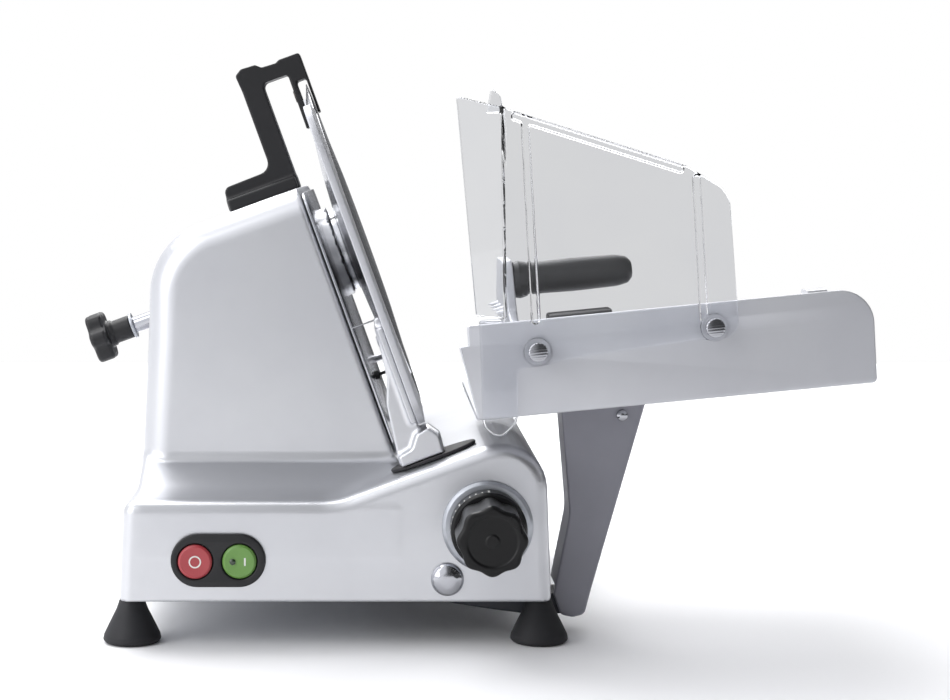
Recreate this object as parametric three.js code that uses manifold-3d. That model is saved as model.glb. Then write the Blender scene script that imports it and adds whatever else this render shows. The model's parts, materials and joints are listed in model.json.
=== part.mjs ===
// Deli meat slicer, gravity feed, 250 mm blade. Millimetres, +Z up, the operator stands on the -Y side.
//
// Three frames are used. The body frame has X = 0 and Y = 0 at the middle of the base and Z = 0 on the
// counter. The blade frame is turned 20 degrees about Y: its X axis is the blade's axle, pointing from
// the motor tower to the carriage, Y is the body's Y, and Z climbs along the blade. The tray frame is
// turned 5.5 degrees about Y: its X axis climbs along the tray and its Z axis stands on the tray's floor.
// At the end the whole slicer is moved so that the middle of its outline's underside is the origin.

import * as THREE from 'three';
import { mergeVertices } from 'three/addons/utils/BufferGeometryUtils.js';
import Module from 'manifold-3d';

const wasm = await Module();
wasm.setup();

// ---------------------------------------------------------------- driving dimensions

const GAP = 0.3; // between pieces that touch
const RUN = 0.3; // round a shaft in its bore

const BASE = { width: 280, depth: 340, low: 30, top: 95, wall: 5, edge: 6 };
const SLOPE = { x: 37, z: 108.5, shoulderX: 136, shoulderR: 30 };
const LEDGE = { frontY: -166, frontZ: 90, backY: -108, backZ: 116 };
const FOOT = { x: 133.5, y: 148, neckR: 7.75, padR: 19, studR: 3, bossR: 9, bossTop: 62 };

const BLADE_TILT = THREE.MathUtils.degToRad(20);
const BLADE_CENTRE = [18, 45, 255];
const BLADE = { r: 125, bore: 18.3 };
const TOWER = { face: -27.5, top: 54.5, frontY: -112, backY: 152, edge: 19, leftX: -133, wall: 5 };
const BOSS = { r: 34, innerR: 30, bore: 23.5, back: -58, end: -18.3 };
const SHAFT_R = 12.6;
const GUARD = { r: 133, innerR: 127.5, postR: 130.2, postAngles: [-92, -46] };
const PIN = { y: -75, z: -90, r: 1.4 };
const SHARPENER = { stoneZ: 119, stoneR: 4.4, buttonX: -39, rearButtonZ: 135.05, frontButtonZ: 146.95 };
const TIE_ROD_R = 6;

const PULLEY = { big: 42, small: 10.5, from: -78, to: -64, lip: 1.7, flange: 2.4 };
const BELT_T = 2.8;
const MOTOR = { y: -95, z: -30, r: 38, back: -140, front: -84, shaftR: 5 };

const SWITCH = { x: -75.2, z: 57.5, width: 61.3, height: 34.3, stopX: -90, startX: -61.5, buttonZ: 57 };
const BUTTON_R = 11;
const DIAL = { x: 98.4, z: 79.5, collarR: 29.4, drumR: 24.5, knobR: 22.3, front: -226, shaftR: 6 };
const CAM = { r: 28, closedR: 8, openR: 23, pinR: 3, front: -156, back: -148 };
const CAM_TURN = THREE.MathUtils.degToRad(300);

const GAUGE = { face: 0.5, thick: 5, frontY: -207, top: 103, bottom: -119, throatR: 127.5 };
const GAUGE_STEM = { y: -181, width: 14, from: -6, to: 4 };
const GAUGE_ROD = { z: -166, r: 6, half: 44 };

const GLAND = { x: -95, z: 58, r: 8 };
const GUIDE_ROD = { x: 72.5, z: 45, r: 8 };
const ROLLER = { x: 44, z: 43.5, r: 8 };
const CARRIAGE_Y = -109;

const TRAY_TILT = THREE.MathUtils.degToRad(5.5);
const TRAY_CORNER = [90, 0, 153.3];
const TRAY = { front: -215, back: -5, length: 249, wallH: 59.3, wall: 4, floor: 4 };
const SHIELD = { front: -222.3, thick: 3, rib: 1.6, slant: 1.35, standOff: 1.5 };
const PUSHER_ROD = { y: -197, z: 46, r: 6 };
const GRIP_Y = -159;

// ---------------------------------------------------------------- finishes

const CAST = { color: 0xc9cbcf, roughness: 0.38, metalness: 0.85 };
const ANODISED = { color: 0xa9abae, roughness: 0.45, metalness: 0.8 };
const STEEL = { color: 0xd5d6d9, roughness: 0.2, metalness: 1 };
const CHROME = { color: 0xe2e3e6, roughness: 0.08, metalness: 1 };
const ZINC = { color: 0xb9bcc0, roughness: 0.35, metalness: 0.9 };
const GREY_PAINT = { color: 0x7d7d85, roughness: 0.5, metalness: 0.2 };
const BLACK = { color: 0x202022, roughness: 0.42, metalness: 0 };
const SOFT_BLACK = { color: 0x343436, roughness: 0.7, metalness: 0 };
const RUBBER = { color: 0x2c2c2e, roughness: 0.85, metalness: 0 };
const RED = { color: 0xb8434a, roughness: 0.35, metalness: 0 };
const GREEN = { color: 0x5f9a3c, roughness: 0.35, metalness: 0 };
const LENS = { color: 0x35402c, roughness: 0.15, metalness: 0 };
const CLEAR = { color: 0xe6ebee, roughness: 0.08, metalness: 0, transparent: true, opacity: 0.35 };
const BOARD = { color: 0x2f6b45, roughness: 0.6, metalness: 0 };
const MOTOR_PAINT = { color: 0x4b4d52, roughness: 0.55, metalness: 0.3 };
const STONE = { color: 0x9a8f86, roughness: 0.95, metalness: 0 };

// ---------------------------------------------------------------- shape helpers

/** Closed solid of a geometry, with its shared corners merged, for joining and cutting. */
function solid(geometry) {
  const bare = new THREE.BufferGeometry();
  bare.setAttribute('position', geometry.getAttribute('position'));
  bare.setIndex(geometry.getIndex());
  const merged = mergeVertices(bare, 1e-4);
  const source = merged.getIndex().array;
  const corners = [];
  for (let i = 0; i < source.length; i += 3) {
    const [a, b, c] = [source[i], source[i + 1], source[i + 2]];
    if (a !== b && b !== c && c !== a) corners.push(a, b, c);
  }
  const vertProperties = new Float32Array(merged.getAttribute('position').array);
  const triVerts = new Uint32Array(corners);
  return new wasm.Manifold(new wasm.Mesh({ numProp: 3, vertProperties, triVerts }));
}

/** Geometry of a solid. */
function geometryOf(body) {
  const mesh = body.getMesh();
  const geometry = new THREE.BufferGeometry();
  geometry.setAttribute('position', new THREE.BufferAttribute(new Float32Array(mesh.vertProperties), 3));
  geometry.setIndex(new THREE.BufferAttribute(new Uint32Array(mesh.triVerts), 1));
  return geometry;
}

/** One geometry out of several that overlap. */
function join(first, ...others) {
  return geometryOf(others.reduce((body, other) => body.add(solid(other)), solid(first)));
}

/** The first geometry with all the others taken away. */
function cut(first, ...tools) {
  return geometryOf(tools.reduce((body, tool) => body.subtract(solid(tool)), solid(first)));
}

/** What two geometries have in common. */
function meet(first, second) {
  return geometryOf(solid(first).intersect(solid(second)));
}

/** Box between two corners. */
function box(x0, x1, y0, y1, z0, z1) {
  const geometry = new THREE.BoxGeometry(x1 - x0, y1 - y0, z1 - z0);
  return geometry.translate((x0 + x1) / 2, (y0 + y1) / 2, (z0 + z1) / 2);
}

/** Outline through corners [x, y, radius], each corner rounded by its radius. */
function outline(corners) {
  const shape = new THREE.Shape();
  corners.forEach(([x, y, radius = 0], i) => {
    const here = new THREE.Vector2(x, y);
    const before = corners.at(i - 1);
    const after = corners[(i + 1) % corners.length];
    const back = new THREE.Vector2(before[0], before[1]).sub(here).normalize();
    const ahead = new THREE.Vector2(after[0], after[1]).sub(here).normalize();
    const half = Math.acos(THREE.MathUtils.clamp(back.dot(ahead), -1, 1)) / 2;
    if (radius === 0) {
      if (i === 0) shape.moveTo(x, y);
      else shape.lineTo(x, y);
      return;
    }
    const reach = radius / Math.tan(half);
    const start = here.clone().addScaledVector(back, reach);
    const end = here.clone().addScaledVector(ahead, reach);
    const middle = back.clone().add(ahead).normalize().multiplyScalar(radius / Math.sin(half)).add(here);
    const clockwise = back.cross(ahead) > 0;
    const from = Math.atan2(start.y - middle.y, start.x - middle.x);
    const to = Math.atan2(end.y - middle.y, end.x - middle.x);
    if (i === 0) shape.moveTo(start.x, start.y);
    else shape.lineTo(start.x, start.y);
    shape.absarc(middle.x, middle.y, radius, from, to, clockwise);
  });
  return shape;
}

/** Shape pushed along Z from z0 to z1, its front and back edges rounded inwards by edge. */
function pushZ(shape, z0, z1, edge = 0, steps = 3) {
  const rounded = edge > 0;
  const geometry = new THREE.ExtrudeGeometry(shape, {
    depth: z1 - z0 - 2 * edge,
    curveSegments: steps,
    bevelEnabled: rounded,
    bevelThickness: edge,
    bevelSize: edge,
    bevelOffset: -edge,
    bevelSegments: rounded ? 2 : 0,
  });
  return geometry.translate(0, 0, z0 + edge);
}

/** Outline drawn in X and Z, pushed along Y. */
function pushY(shape, y0, y1, edge = 0, steps = 3) {
  return pushZ(shape, -y1, -y0, edge, steps).rotateX(Math.PI / 2);
}

/** Outline drawn in Y and Z, pushed along X. */
function pushX(shape, x0, x1, edge = 0, steps = 3) {
  const turn = new THREE.Matrix4().makeBasis(
    new THREE.Vector3(0, 1, 0), new THREE.Vector3(0, 0, 1), new THREE.Vector3(1, 0, 0));
  return pushZ(shape, x0, x1, edge, steps).applyMatrix4(turn);
}

/** Turned piece about Z; profile points [radius, z] run once round it, either way. */
function turnZ(profile, steps = 24) {
  const points = profile.map(([r, z]) => new THREE.Vector2(r, z));
  if (THREE.ShapeUtils.area(points) < 0) points.reverse();
  points.push(points[0].clone());
  return new THREE.LatheGeometry(points, steps).rotateX(Math.PI / 2);
}

/** Turned piece about the X axis; profile points are [x, radius]. */
function turnX(profile, y = 0, z = 0, steps = 24) {
  return turnZ(profile.map(([x, r]) => [r, x]), steps).rotateY(Math.PI / 2).translate(0, y, z);
}

/** Turned piece about a line along Y; profile points are [y, radius]. */
function turnY(profile, x, z, steps = 24) {
  return turnZ(profile.map(([y, r]) => [r, y]), steps).rotateX(-Math.PI / 2).translate(x, 0, z);
}

/** Rod or disc along X. */
function rodX(r, x0, x1, y = 0, z = 0, steps = 24) {
  return turnX([[x0, 0], [x0, r], [x1, r], [x1, 0]], y, z, steps);
}

/** Rod or disc along Y. */
function rodY(r, y0, y1, x, z, steps = 24) {
  return turnY([[y0, 0], [y0, r], [y1, r], [y1, 0]], x, z, steps);
}

/** Upright rod or disc. */
function rodZ(r, z0, z1, x, y, steps = 24) {
  return turnZ([[0, z0], [r, z0], [r, z1], [0, z1]], steps).translate(x, y, 0);
}

/** Ring along X with a bore. */
function ringX(outer, inner, x0, x1, y = 0, z = 0, steps = 24) {
  return turnX([[x0, inner], [x0, outer], [x1, outer], [x1, inner]], y, z, steps);
}

/** Blade-frame geometry carried into the body frame. */
function leaned(geometry) {
  return geometry.rotateY(-BLADE_TILT).translate(...BLADE_CENTRE);
}

/** Obround outline, standing on its long side. */
function obround(x, z, width, height) {
  const r = height / 2;
  const shape = new THREE.Shape();
  shape.absarc(x + width / 2 - r, z, r, -Math.PI / 2, Math.PI / 2, false);
  shape.absarc(x - width / 2 + r, z, r, Math.PI / 2, Math.PI * 1.5, false);
  return shape;
}

/** Outline of a grip with rounded lobes. */
function lobed(radius, lobes, depth, perLobe = 8) {
  const shape = new THREE.Shape();
  const count = lobes * perLobe;
  for (let i = 0; i < count; i += 1) {
    const angle = (i / count) * 2 * Math.PI;
    const r = radius - depth * Math.pow(Math.abs(Math.sin((angle * lobes) / 2)), 3);
    if (i === 0) shape.moveTo(r * Math.cos(angle), r * Math.sin(angle));
    else shape.lineTo(r * Math.cos(angle), r * Math.sin(angle));
  }
  return shape;
}

// ---------------------------------------------------------------- base and motor tower, one casting

/** Front outline of the base, moved inwards by inset; its underside is left open below the rim. */
function baseOutline(inset) {
  const half = BASE.width / 2 - inset;
  const rise = Math.tan(BLADE_TILT);
  const drop = inset / Math.cos(BLADE_TILT);
  const top = BASE.top - inset;
  const right = SLOPE.shoulderX - inset;
  const slopeStart = SLOPE.x + (top + drop - SLOPE.z) / rise;
  const shoulderZ = SLOPE.z + (right - SLOPE.x) * rise - drop;
  return outline([
    [-half, 10],
    [half, 10],
    [half, BASE.low],
    [right, shoulderZ, SLOPE.shoulderR - inset],
    [slopeStart, top, 60],
    [-half + 3, top, 8],
    [-half, BASE.low],
  ]);
}

/** Outline of the tower seen from the operator; the blade-side face is cut afterwards. */
function towerOutline(inset) {
  const rise = Math.tan(BLADE_TILT);
  const drop = (TOWER.top - inset) / Math.cos(BLADE_TILT);
  const roof = (x) => BLADE_CENTRE[2] + drop + (x - BLADE_CENTRE[0]) * rise;
  const left = TOWER.leftX + inset;
  const eave = left + 7;
  return outline([
    [left, 60],
    [60, 60],
    [60, roof(60)],
    [eave, roof(eave), 53 - inset],
    [left + 5, 190, 80],
    [left, 95],
  ]);
}

/** Tower body, from its front panel to its back, cut flat on the blade side. */
function towerBody(inset) {
  const edge = TOWER.edge - inset / 2;
  const block = pushY(towerOutline(inset), TOWER.frontY + inset, TOWER.backY - inset, edge, 4);
  const beyond = leaned(box(TOWER.face - inset, 300, -300, 300, -400, 300));
  return cut(block, beyond);
}

/** Low apron in front of the tower's panel. */
function ledge() {
  return pushX(outline([
    [LEDGE.frontY, 60],
    [-60, 60],
    [-60, LEDGE.backZ],
    [LEDGE.backY, LEDGE.backZ, 12],
    [LEDGE.frontY, LEDGE.frontZ],
  ]), -131, 45);
}

/** Bosses for the feet, hub housing, motor plate, guide posts and stand-offs inside the casting. */
function innerFeatures() {
  const features = [];
  for (const x of [-FOOT.x, FOOT.x]) {
    for (const y of [-FOOT.y, FOOT.y]) features.push(rodZ(FOOT.bossR, BASE.low, FOOT.bossTop, x, y, 16));
  }
  for (const x of [-118, -32]) features.push(rodY(3, -166, -150.3, x, SWITCH.buttonZ, 12));
  for (const side of [-1, 1]) {
    const middle = side * (GAUGE_ROD.half - 3);
    features.push(leaned(box(middle - 4, middle + 4, -190, -172, -177, -143)));
  }
  features.push(leaned(rodX(BOSS.innerR, BOSS.back, TOWER.face, 0, 0)));
  features.push(leaned(box(MOTOR.front + GAP, MOTOR.front + 4.3, -135, -55, -68, TOWER.top - 2)));
  return features;
}

/** Holes through the casting. */
function housingHoles() {
  const holes = [
    pushY(obround(SWITCH.x, SWITCH.z, 54, 26), -180, -150),
    rodY(DIAL.shaftR + RUN, -180, -150, DIAL.x, DIAL.z),
    rodY(GUIDE_ROD.r + RUN, -180, 180, GUIDE_ROD.x, GUIDE_ROD.z),
    rodY(GLAND.r + RUN, 150, 180, GLAND.x, GLAND.z, 24),
    leaned(rodX(BOSS.bore, BOSS.back - 1, 0)),
    leaned(rodX(TIE_ROD_R + RUN, -200, -120, 0, 0, 24)),
    leaned(rodX(MOTOR.shaftR + 2, MOTOR.front - 2, MOTOR.front + 8, MOTOR.y, MOTOR.z, 24)),
    leaned(rodX(GAUGE_ROD.r + RUN, -GAUGE_ROD.half, GAUGE_ROD.half, GAUGE_STEM.y, GAUGE_ROD.z, 24)),
    leaned(box(-22.5, 5.5, -189.5, -172.5, -156, -130)),
  ];
  for (const x of [-FOOT.x, FOOT.x]) {
    for (const y of [-FOOT.y, FOOT.y]) holes.push(rodZ(FOOT.studR + RUN, 20, 45, x, y, 12));
  }
  return holes;
}

/** The whole casting: base, apron, tower and hub boss. */
function baseHousing() {
  const half = BASE.depth / 2;
  const shell = pushY(baseOutline(0), -half, half, BASE.edge, 4);
  const solidTower = meet(towerBody(0), box(-200, 200, -200, 200, 80, 400));
  const outer = cut(join(shell, ledge(), solidTower), box(-200, 200, -200, 200, 0, BASE.low));
  const baseRoom = pushY(baseOutline(BASE.wall), -half + BASE.wall, half - BASE.wall, 0, 4);
  const hollow = cut(outer, baseRoom, towerBody(TOWER.wall));
  const inside = innerFeatures().map((feature) => meet(feature, outer));
  const boss = leaned(rodX(BOSS.r, TOWER.face - 2, BOSS.end, 0, 0));
  return cut(join(hollow, ...inside, boss), ...housingHoles());
}

/** Steel sheet closing the underside left of the carriage channel. */
function bottomPlate() {
  const sheet = box(-134.6, 28, -164.6, 164.6, 31, 32.5);
  const notches = [-FOOT.y, FOOT.y].map((y) => rodZ(FOOT.bossR + 0.6, 20, 40, -FOOT.x, y, 16));
  return cut(sheet, ...notches);
}

/** Rubber foot with its moulded-in stud. */
function foot(x, y) {
  const neck = BASE.low - GAP;
  return turnZ([
    [0, 0], [FOOT.padR - 1, 0], [FOOT.padR, 1.5], [FOOT.padR - 0.6, 5], [14.5, 13], [10.5, 21],
    [FOOT.neckR, neck], [FOOT.studR, neck], [FOOT.studR, neck + 13], [0, neck + 13],
  ], 16).translate(x, y, 0);
}

/** Membrane gland for the mains lead, its membrane still closed. */
function cableGland() {
  const face = BASE.depth / 2 + GAP;
  return turnY([
    [face - 12, 0], [face - 12, GLAND.r], [face, GLAND.r], [face, GLAND.r + 3], [face + 6.7, GLAND.r + 3],
    [face + 9.7, GLAND.r], [face + 9.7, 4], [face + 5.7, 2.5], [face + 5.7, 0],
  ], GLAND.x, GLAND.z, 24);
}

// ---------------------------------------------------------------- switch

/** Obround bezel with the two button holes. */
function switchPlate() {
  const face = -BASE.depth / 2 - GAP;
  const bezel = pushY(obround(SWITCH.x, SWITCH.z, SWITCH.width, SWITCH.height), face - 3.2, face, 0.8, 5);
  const holes = [SWITCH.stopX, SWITCH.startX]
    .map((x) => rodY(BUTTON_R + 0.5, -190, -150, x, SWITCH.buttonZ, 20));
  return cut(bezel, ...holes);
}

/** Push button: cap, skirt and stem. */
function pushButton(x, proud) {
  const face = -BASE.depth / 2;
  const front = face - 3.5 - proud;
  return turnY([
    [front, 0], [front, BUTTON_R - 1.2], [front + 1.2, BUTTON_R], [face - 0.5, BUTTON_R],
    [face - 0.5, 3.5], [-160.8, 3.5], [-160.8, 0],
  ], x, SWITCH.buttonZ, 20);
}

/** START button with the pocket of its lamp lens. */
function startButton() {
  return cut(pushButton(SWITCH.startX, 0.8), rodY(2.4, -180, -172.4, SWITCH.startX - 4.3, SWITCH.buttonZ, 12));
}

/** Circuit board with the two switch cells behind the buttons. */
function controlBoard() {
  const cells = [SWITCH.stopX, SWITCH.startX]
    .map((x) => box(x - 7, x + 7, -158, -149, SWITCH.buttonZ - 8, SWITCH.buttonZ + 8));
  const relay = box(-50, -36, -149, -134, 46, 66);
  return join(box(-124, -26, -150, -148.4, 38, 82), ...cells, relay);
}

// ---------------------------------------------------------------- thickness control

/** Fixed collar round the dial. */
function dialCollar() {
  const face = -BASE.depth / 2 - GAP;
  return turnY([
    [face, 9], [face, DIAL.collarR], [face - 2.2, DIAL.collarR], [face - 4, DIAL.collarR - 2],
    [face - 4, 9],
  ], DIAL.x, DIAL.z, 32);
}

/** Drum that carries the slice-thickness marks. */
function thicknessDial() {
  return turnY([
    [-174.7, DIAL.shaftR + GAP], [-174.7, DIAL.drumR], [-188, DIAL.drumR], [-190, DIAL.drumR - 1.6],
    [-190, DIAL.shaftR + GAP],
  ], DIAL.x, DIAL.z, 32);
}

/** Scalloped hand knob, bored for the shaft. */
function thicknessKnob() {
  const grip = pushY(lobed(DIAL.knobR, 8, 2.6, 5), DIAL.front, -190.3, 2).translate(DIAL.x, 0, DIAL.z);
  return cut(grip, rodY(DIAL.shaftR + GAP, -205, -180, DIAL.x, DIAL.z, 20));
}

/** Spiral track, as an outline in the blade frame's X and Z; the radius grows evenly with the turn. */
function camTrack() {
  const steps = 24;
  const half = CAM.pinR + 0.6;
  const spot = (turn, side) => {
    const r = CAM.closedR + ((CAM.openR - CAM.closedR) * turn) / CAM_TURN + side * half;
    return new THREE.Vector2(r * Math.cos(Math.PI + turn), r * Math.sin(Math.PI + turn));
  };
  const [before, after] = [0.55, 0.2];
  const whole = before + CAM_TURN + after;
  const turns = Array.from({ length: steps + 1 }, (_, i) => (whole * i) / steps - before);
  const outerSide = turns.map((turn) => spot(turn, 1));
  const innerSide = turns.map((turn) => spot(turn, -1)).reverse();
  return new THREE.Shape([...outerSide, ...innerSide]);
}

/** Shaft behind the knob with its spiral cam disc. */
function camShaft() {
  const shaft = rodY(DIAL.shaftR, -204, CAM.back, DIAL.x, DIAL.z, 20);
  const disc = rodY(CAM.r, CAM.front, CAM.back, DIAL.x, DIAL.z, 32);
  const track = pushY(camTrack(), CAM.back - 4.4, CAM.back + 5);
  track.rotateY(-BLADE_TILT).translate(DIAL.x, 0, DIAL.z);
  return cut(join(shaft, disc), track);
}

/** The knob's axle in the blade frame: [x, z]. */
function dialInBladeFrame() {
  const dx = DIAL.x - BLADE_CENTRE[0];
  const dz = DIAL.z - BLADE_CENTRE[2];
  const [c, s] = [Math.cos(BLADE_TILT), Math.sin(BLADE_TILT)];
  return [c * dx + s * dz, c * dz - s * dx];
}

/** Slider on the gauge's guide rod, with the pin that runs in the spiral track. */
function gaugeSlider() {
  const [camX, camZ] = dialInBladeFrame();
  const y = GAUGE_STEM.y;
  const pinX = camX - CAM.closedR;
  const body = box(-12, 12, y - 9, y + 9, -180, -150);
  const drop = box(pinX - 6, pinX + 6, y - 9, y - 2, camZ - 6, -170);
  const pin = rodY(CAM.pinR, y - 14.5, y - 5, pinX, camZ, 16);
  const bore = rodX(GAUGE_ROD.r + RUN, -20, 20, y, GAUGE_ROD.z, 24);
  return cut(join(body, drop, pin), bore);
}

// ---------------------------------------------------------------- gauge plate

/** Gauge plate with its edge curved round the blade. */
function gaugePlate() {
  const from = Math.atan2(GAUGE.bottom, -Math.sqrt(GAUGE.throatR ** 2 - GAUGE.bottom ** 2));
  const to = Math.atan2(GAUGE.top, -Math.sqrt(GAUGE.throatR ** 2 - GAUGE.top ** 2)) - 2 * Math.PI;
  const shape = new THREE.Shape();
  shape.absarc(0, 0, GAUGE.throatR, from, to, true);
  shape.lineTo(GAUGE.frontY + 22, GAUGE.top);
  shape.absarc(GAUGE.frontY + 22, GAUGE.top - 22, 22, Math.PI / 2, Math.PI, false);
  shape.absarc(GAUGE.frontY + 22, GAUGE.bottom + 22, 22, Math.PI, Math.PI * 1.5, false);
  return pushX(shape, GAUGE.face - GAUGE.thick, GAUGE.face, 0, 8);
}

/** Cast bracket that carries the gauge plate and reaches down through the base's top. */
function gaugeSupport() {
  const back = GAUGE.face - GAUGE.thick - GAP;
  const y = GAUGE_STEM.y;
  const web = pushY(outline([
    [back, -44], [back - 4, -44], [back - 9, -84], [-20, -100, 6], [-24, -130], [-24, -140.8], [5, -140.8],
    [6, -129], [1, -122], [back, -121],
  ]), y - 5, y + 5);
  const pad = box(back - 4, back, y - 16, y + 16, -116, -50);
  const toe = pushY(outline([
    [-24, -140.8], [5, -140.8], [6, -129], [1, -122], [-8, -124], [-14, -132], [-24, -134],
  ]), y - 14, y + 11);
  const stem = box(
    GAUGE_STEM.from, GAUGE_STEM.to, y - GAUGE_STEM.width / 2, y + GAUGE_STEM.width / 2, -149.7, -139);
  return join(web, pad, toe, stem);
}

/** Rubber seal lying round the support's slot in the base's top. */
function gaugeSeal() {
  const shape = new THREE.Shape();
  shape.absellipse(-2.5, GAUGE_STEM.y, 29.5, 15, 0, 2 * Math.PI, false, 0);
  const rim = pushZ(shape, -143.9, -141.4, 0.8, 10);
  return cut(rim, box(-22.5, 5.5, GAUGE_STEM.y - 8.5, GAUGE_STEM.y + 8.5, -150, -130));
}

// ---------------------------------------------------------------- blade and its drive

/** Dished blade, ground from behind to a thin edge. */
function blade() {
  return turnX([
    [-13, BLADE.bore], [-13, 38], [-11.4, 62], [-7.2, 98], [-5, 112], [-0.4, BLADE.r], [0, BLADE.r],
    [-3, 109], [-4.4, 98], [-8.6, 62], [-10.2, 38], [-10.2, BLADE.bore],
  ], 0, 0, 40);
}

/** Hollow spindle with the flange that the blade is screwed to. */
function hubShaft() {
  return turnX([
    [-80, TIE_ROD_R + 0.6], [-80, SHAFT_R], [-17.7, SHAFT_R], [-17.7, 32], [-13.3, 32], [-13.3, 18],
    [-10.8, 18], [-10.8, TIE_ROD_R + 0.6],
  ]);
}

/** Ball bearing, closed by its shields. */
function hubBearing(from) {
  return ringX(BOSS.bore - RUN, SHAFT_R + RUN, from, from + 12);
}

/** Pulley with side lips. */
function pulley(radius, bore, y, z, steps) {
  const lipR = radius + PULLEY.flange;
  return turnX([
    [PULLEY.from, bore], [PULLEY.from, lipR], [PULLEY.from + PULLEY.lip, lipR],
    [PULLEY.from + PULLEY.lip, radius], [PULLEY.to - PULLEY.lip, radius], [PULLEY.to - PULLEY.lip, lipR],
    [PULLEY.to, lipR], [PULLEY.to, bore],
  ], y, z, steps);
}

/** Outline wrapped round the two pulleys, standing off them by spare. */
function wrap(spare) {
  const reach = Math.hypot(MOTOR.y, MOTOR.z);
  const toMotor = Math.atan2(MOTOR.z, MOTOR.y);
  const lean = Math.acos((PULLEY.big - PULLEY.small) / reach);
  const shape = new THREE.Shape();
  shape.absarc(0, 0, PULLEY.big + spare, toMotor + lean, toMotor - lean + 2 * Math.PI, false);
  shape.absarc(MOTOR.y, MOTOR.z, PULLEY.small + spare, toMotor - lean, toMotor + lean, false);
  return shape;
}

/** Ribbed belt, drawn as a smooth band. */
function driveBelt() {
  const [from, to] = [PULLEY.from + PULLEY.lip + GAP, PULLEY.to - PULLEY.lip - GAP];
  return cut(pushX(wrap(GAP + BELT_T), from, to, 0, 8), pushX(wrap(GAP), from - 5, to + 5, 0, 8));
}

/** Motor can with its end bells and the bore of its shaft. */
function motorBody() {
  return turnX([
    [MOTOR.back, 0], [MOTOR.back, 26], [MOTOR.back + 6, MOTOR.r - 2], [MOTOR.back + 10, MOTOR.r],
    [MOTOR.front - 8, MOTOR.r], [MOTOR.front - 5, MOTOR.r - 3], [MOTOR.front, MOTOR.r - 4],
    [MOTOR.front, MOTOR.shaftR + RUN], [-110, MOTOR.shaftR + RUN], [-110, 0],
  ], MOTOR.y, MOTOR.z);
}

/** Still cover over the blade's hub, drawn tight by the tie rod. */
function bladeCover() {
  return turnX([
    [-9.4, TIE_ROD_R + RUN], [-9.4, 11], [-3.6, 13], [-1.6, 60], [-2, 103], [-1, 104.5], [0.2, 104],
    [2.3, 55], [2.6, 0], [-1, 0], [-1, TIE_ROD_R + RUN],
  ], 0, 0, 40);
}

/** Tie rod through the hollow spindle. */
function tieRod() {
  return rodX(TIE_ROD_R, -206, -1.6, 0, 0, 20);
}

/** Lobed hand knob on the tie rod. */
function tieRodKnob() {
  const lobes = new THREE.Matrix4().makeBasis(
    new THREE.Vector3(0, 1, 0), new THREE.Vector3(0, 0, 1), new THREE.Vector3(1, 0, 0));
  const head = pushZ(lobed(19.5, 6, 3.6, 6), -215.5, -202.5, 2).applyMatrix4(lobes);
  const hub = turnX([[-204, 0], [-204, 10], [-200, 8.8], [-186, 8], [-185, 7.2], [-185, 0]], 0, 0, 24);
  return cut(join(head, hub), rodX(TIE_ROD_R + GAP, -206.3, -180, 0, 0, 20));
}

/** Washer that travels with the tie rod and does not turn with it. */
function knobWasher() {
  return ringX(9.5, TIE_ROD_R + RUN, -184.7, -182.7, 0, 0, 24);
}

/** Fixed guard round the back and underside of the blade, on two posts. */
function bladeGuardRing() {
  const [from, to] = [THREE.MathUtils.degToRad(-105), THREE.MathUtils.degToRad(62)];
  const shape = new THREE.Shape();
  shape.absarc(0, 0, GUARD.r, from, to, false);
  shape.absarc(0, 0, GUARD.innerR, to, from, true);
  const ring = pushX(shape, -9, -1, 0, 14);
  const posts = guardPosts().map(([y, z]) => rodX(2.7, TOWER.face + GAP, -5, y, z, 14));
  return join(ring, ...posts);
}

/** Where the guard's posts stand on the tower's face: [y, z]. */
function guardPosts() {
  return GUARD.postAngles.map((degrees) => {
    const angle = THREE.MathUtils.degToRad(degrees);
    return [GUARD.postR * Math.cos(angle), GUARD.postR * Math.sin(angle)];
  });
}

/** Thin plate over the tower's blade-side face, cut out for the hub boss and the guard's posts. */
function sliceDeflector() {
  const sheet = pushX(outline([
    [-150, -137, 8], [100, -137, 20], [100, 50, 12], [-150, 50, 12],
  ]), TOWER.face + 0.8, TOWER.face + 2.8);
  const posts = guardPosts().map(([y, z]) => rodX(3.4, -40, 0, y, z, 14));
  return cut(sheet, rodX(BOSS.r + 1, -40, 0, 0, 0, 40), rodX(PIN.r + RUN, -40, 0, PIN.y, PIN.z, 12), ...posts);
}

/** Headed pin that holds the deflector to the tower's face. */
function deflectorPin() {
  const face = TOWER.face + GAP;
  return turnX([
    [face, 0], [face, PIN.r], [face + 2.8, PIN.r], [face + 2.8, 3.2], [face + 6, 3.2], [face + 7, 1.2],
    [-9, 1.2], [-9, 0],
  ], PIN.y, PIN.z, 14);
}

// ---------------------------------------------------------------- sharpener

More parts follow.
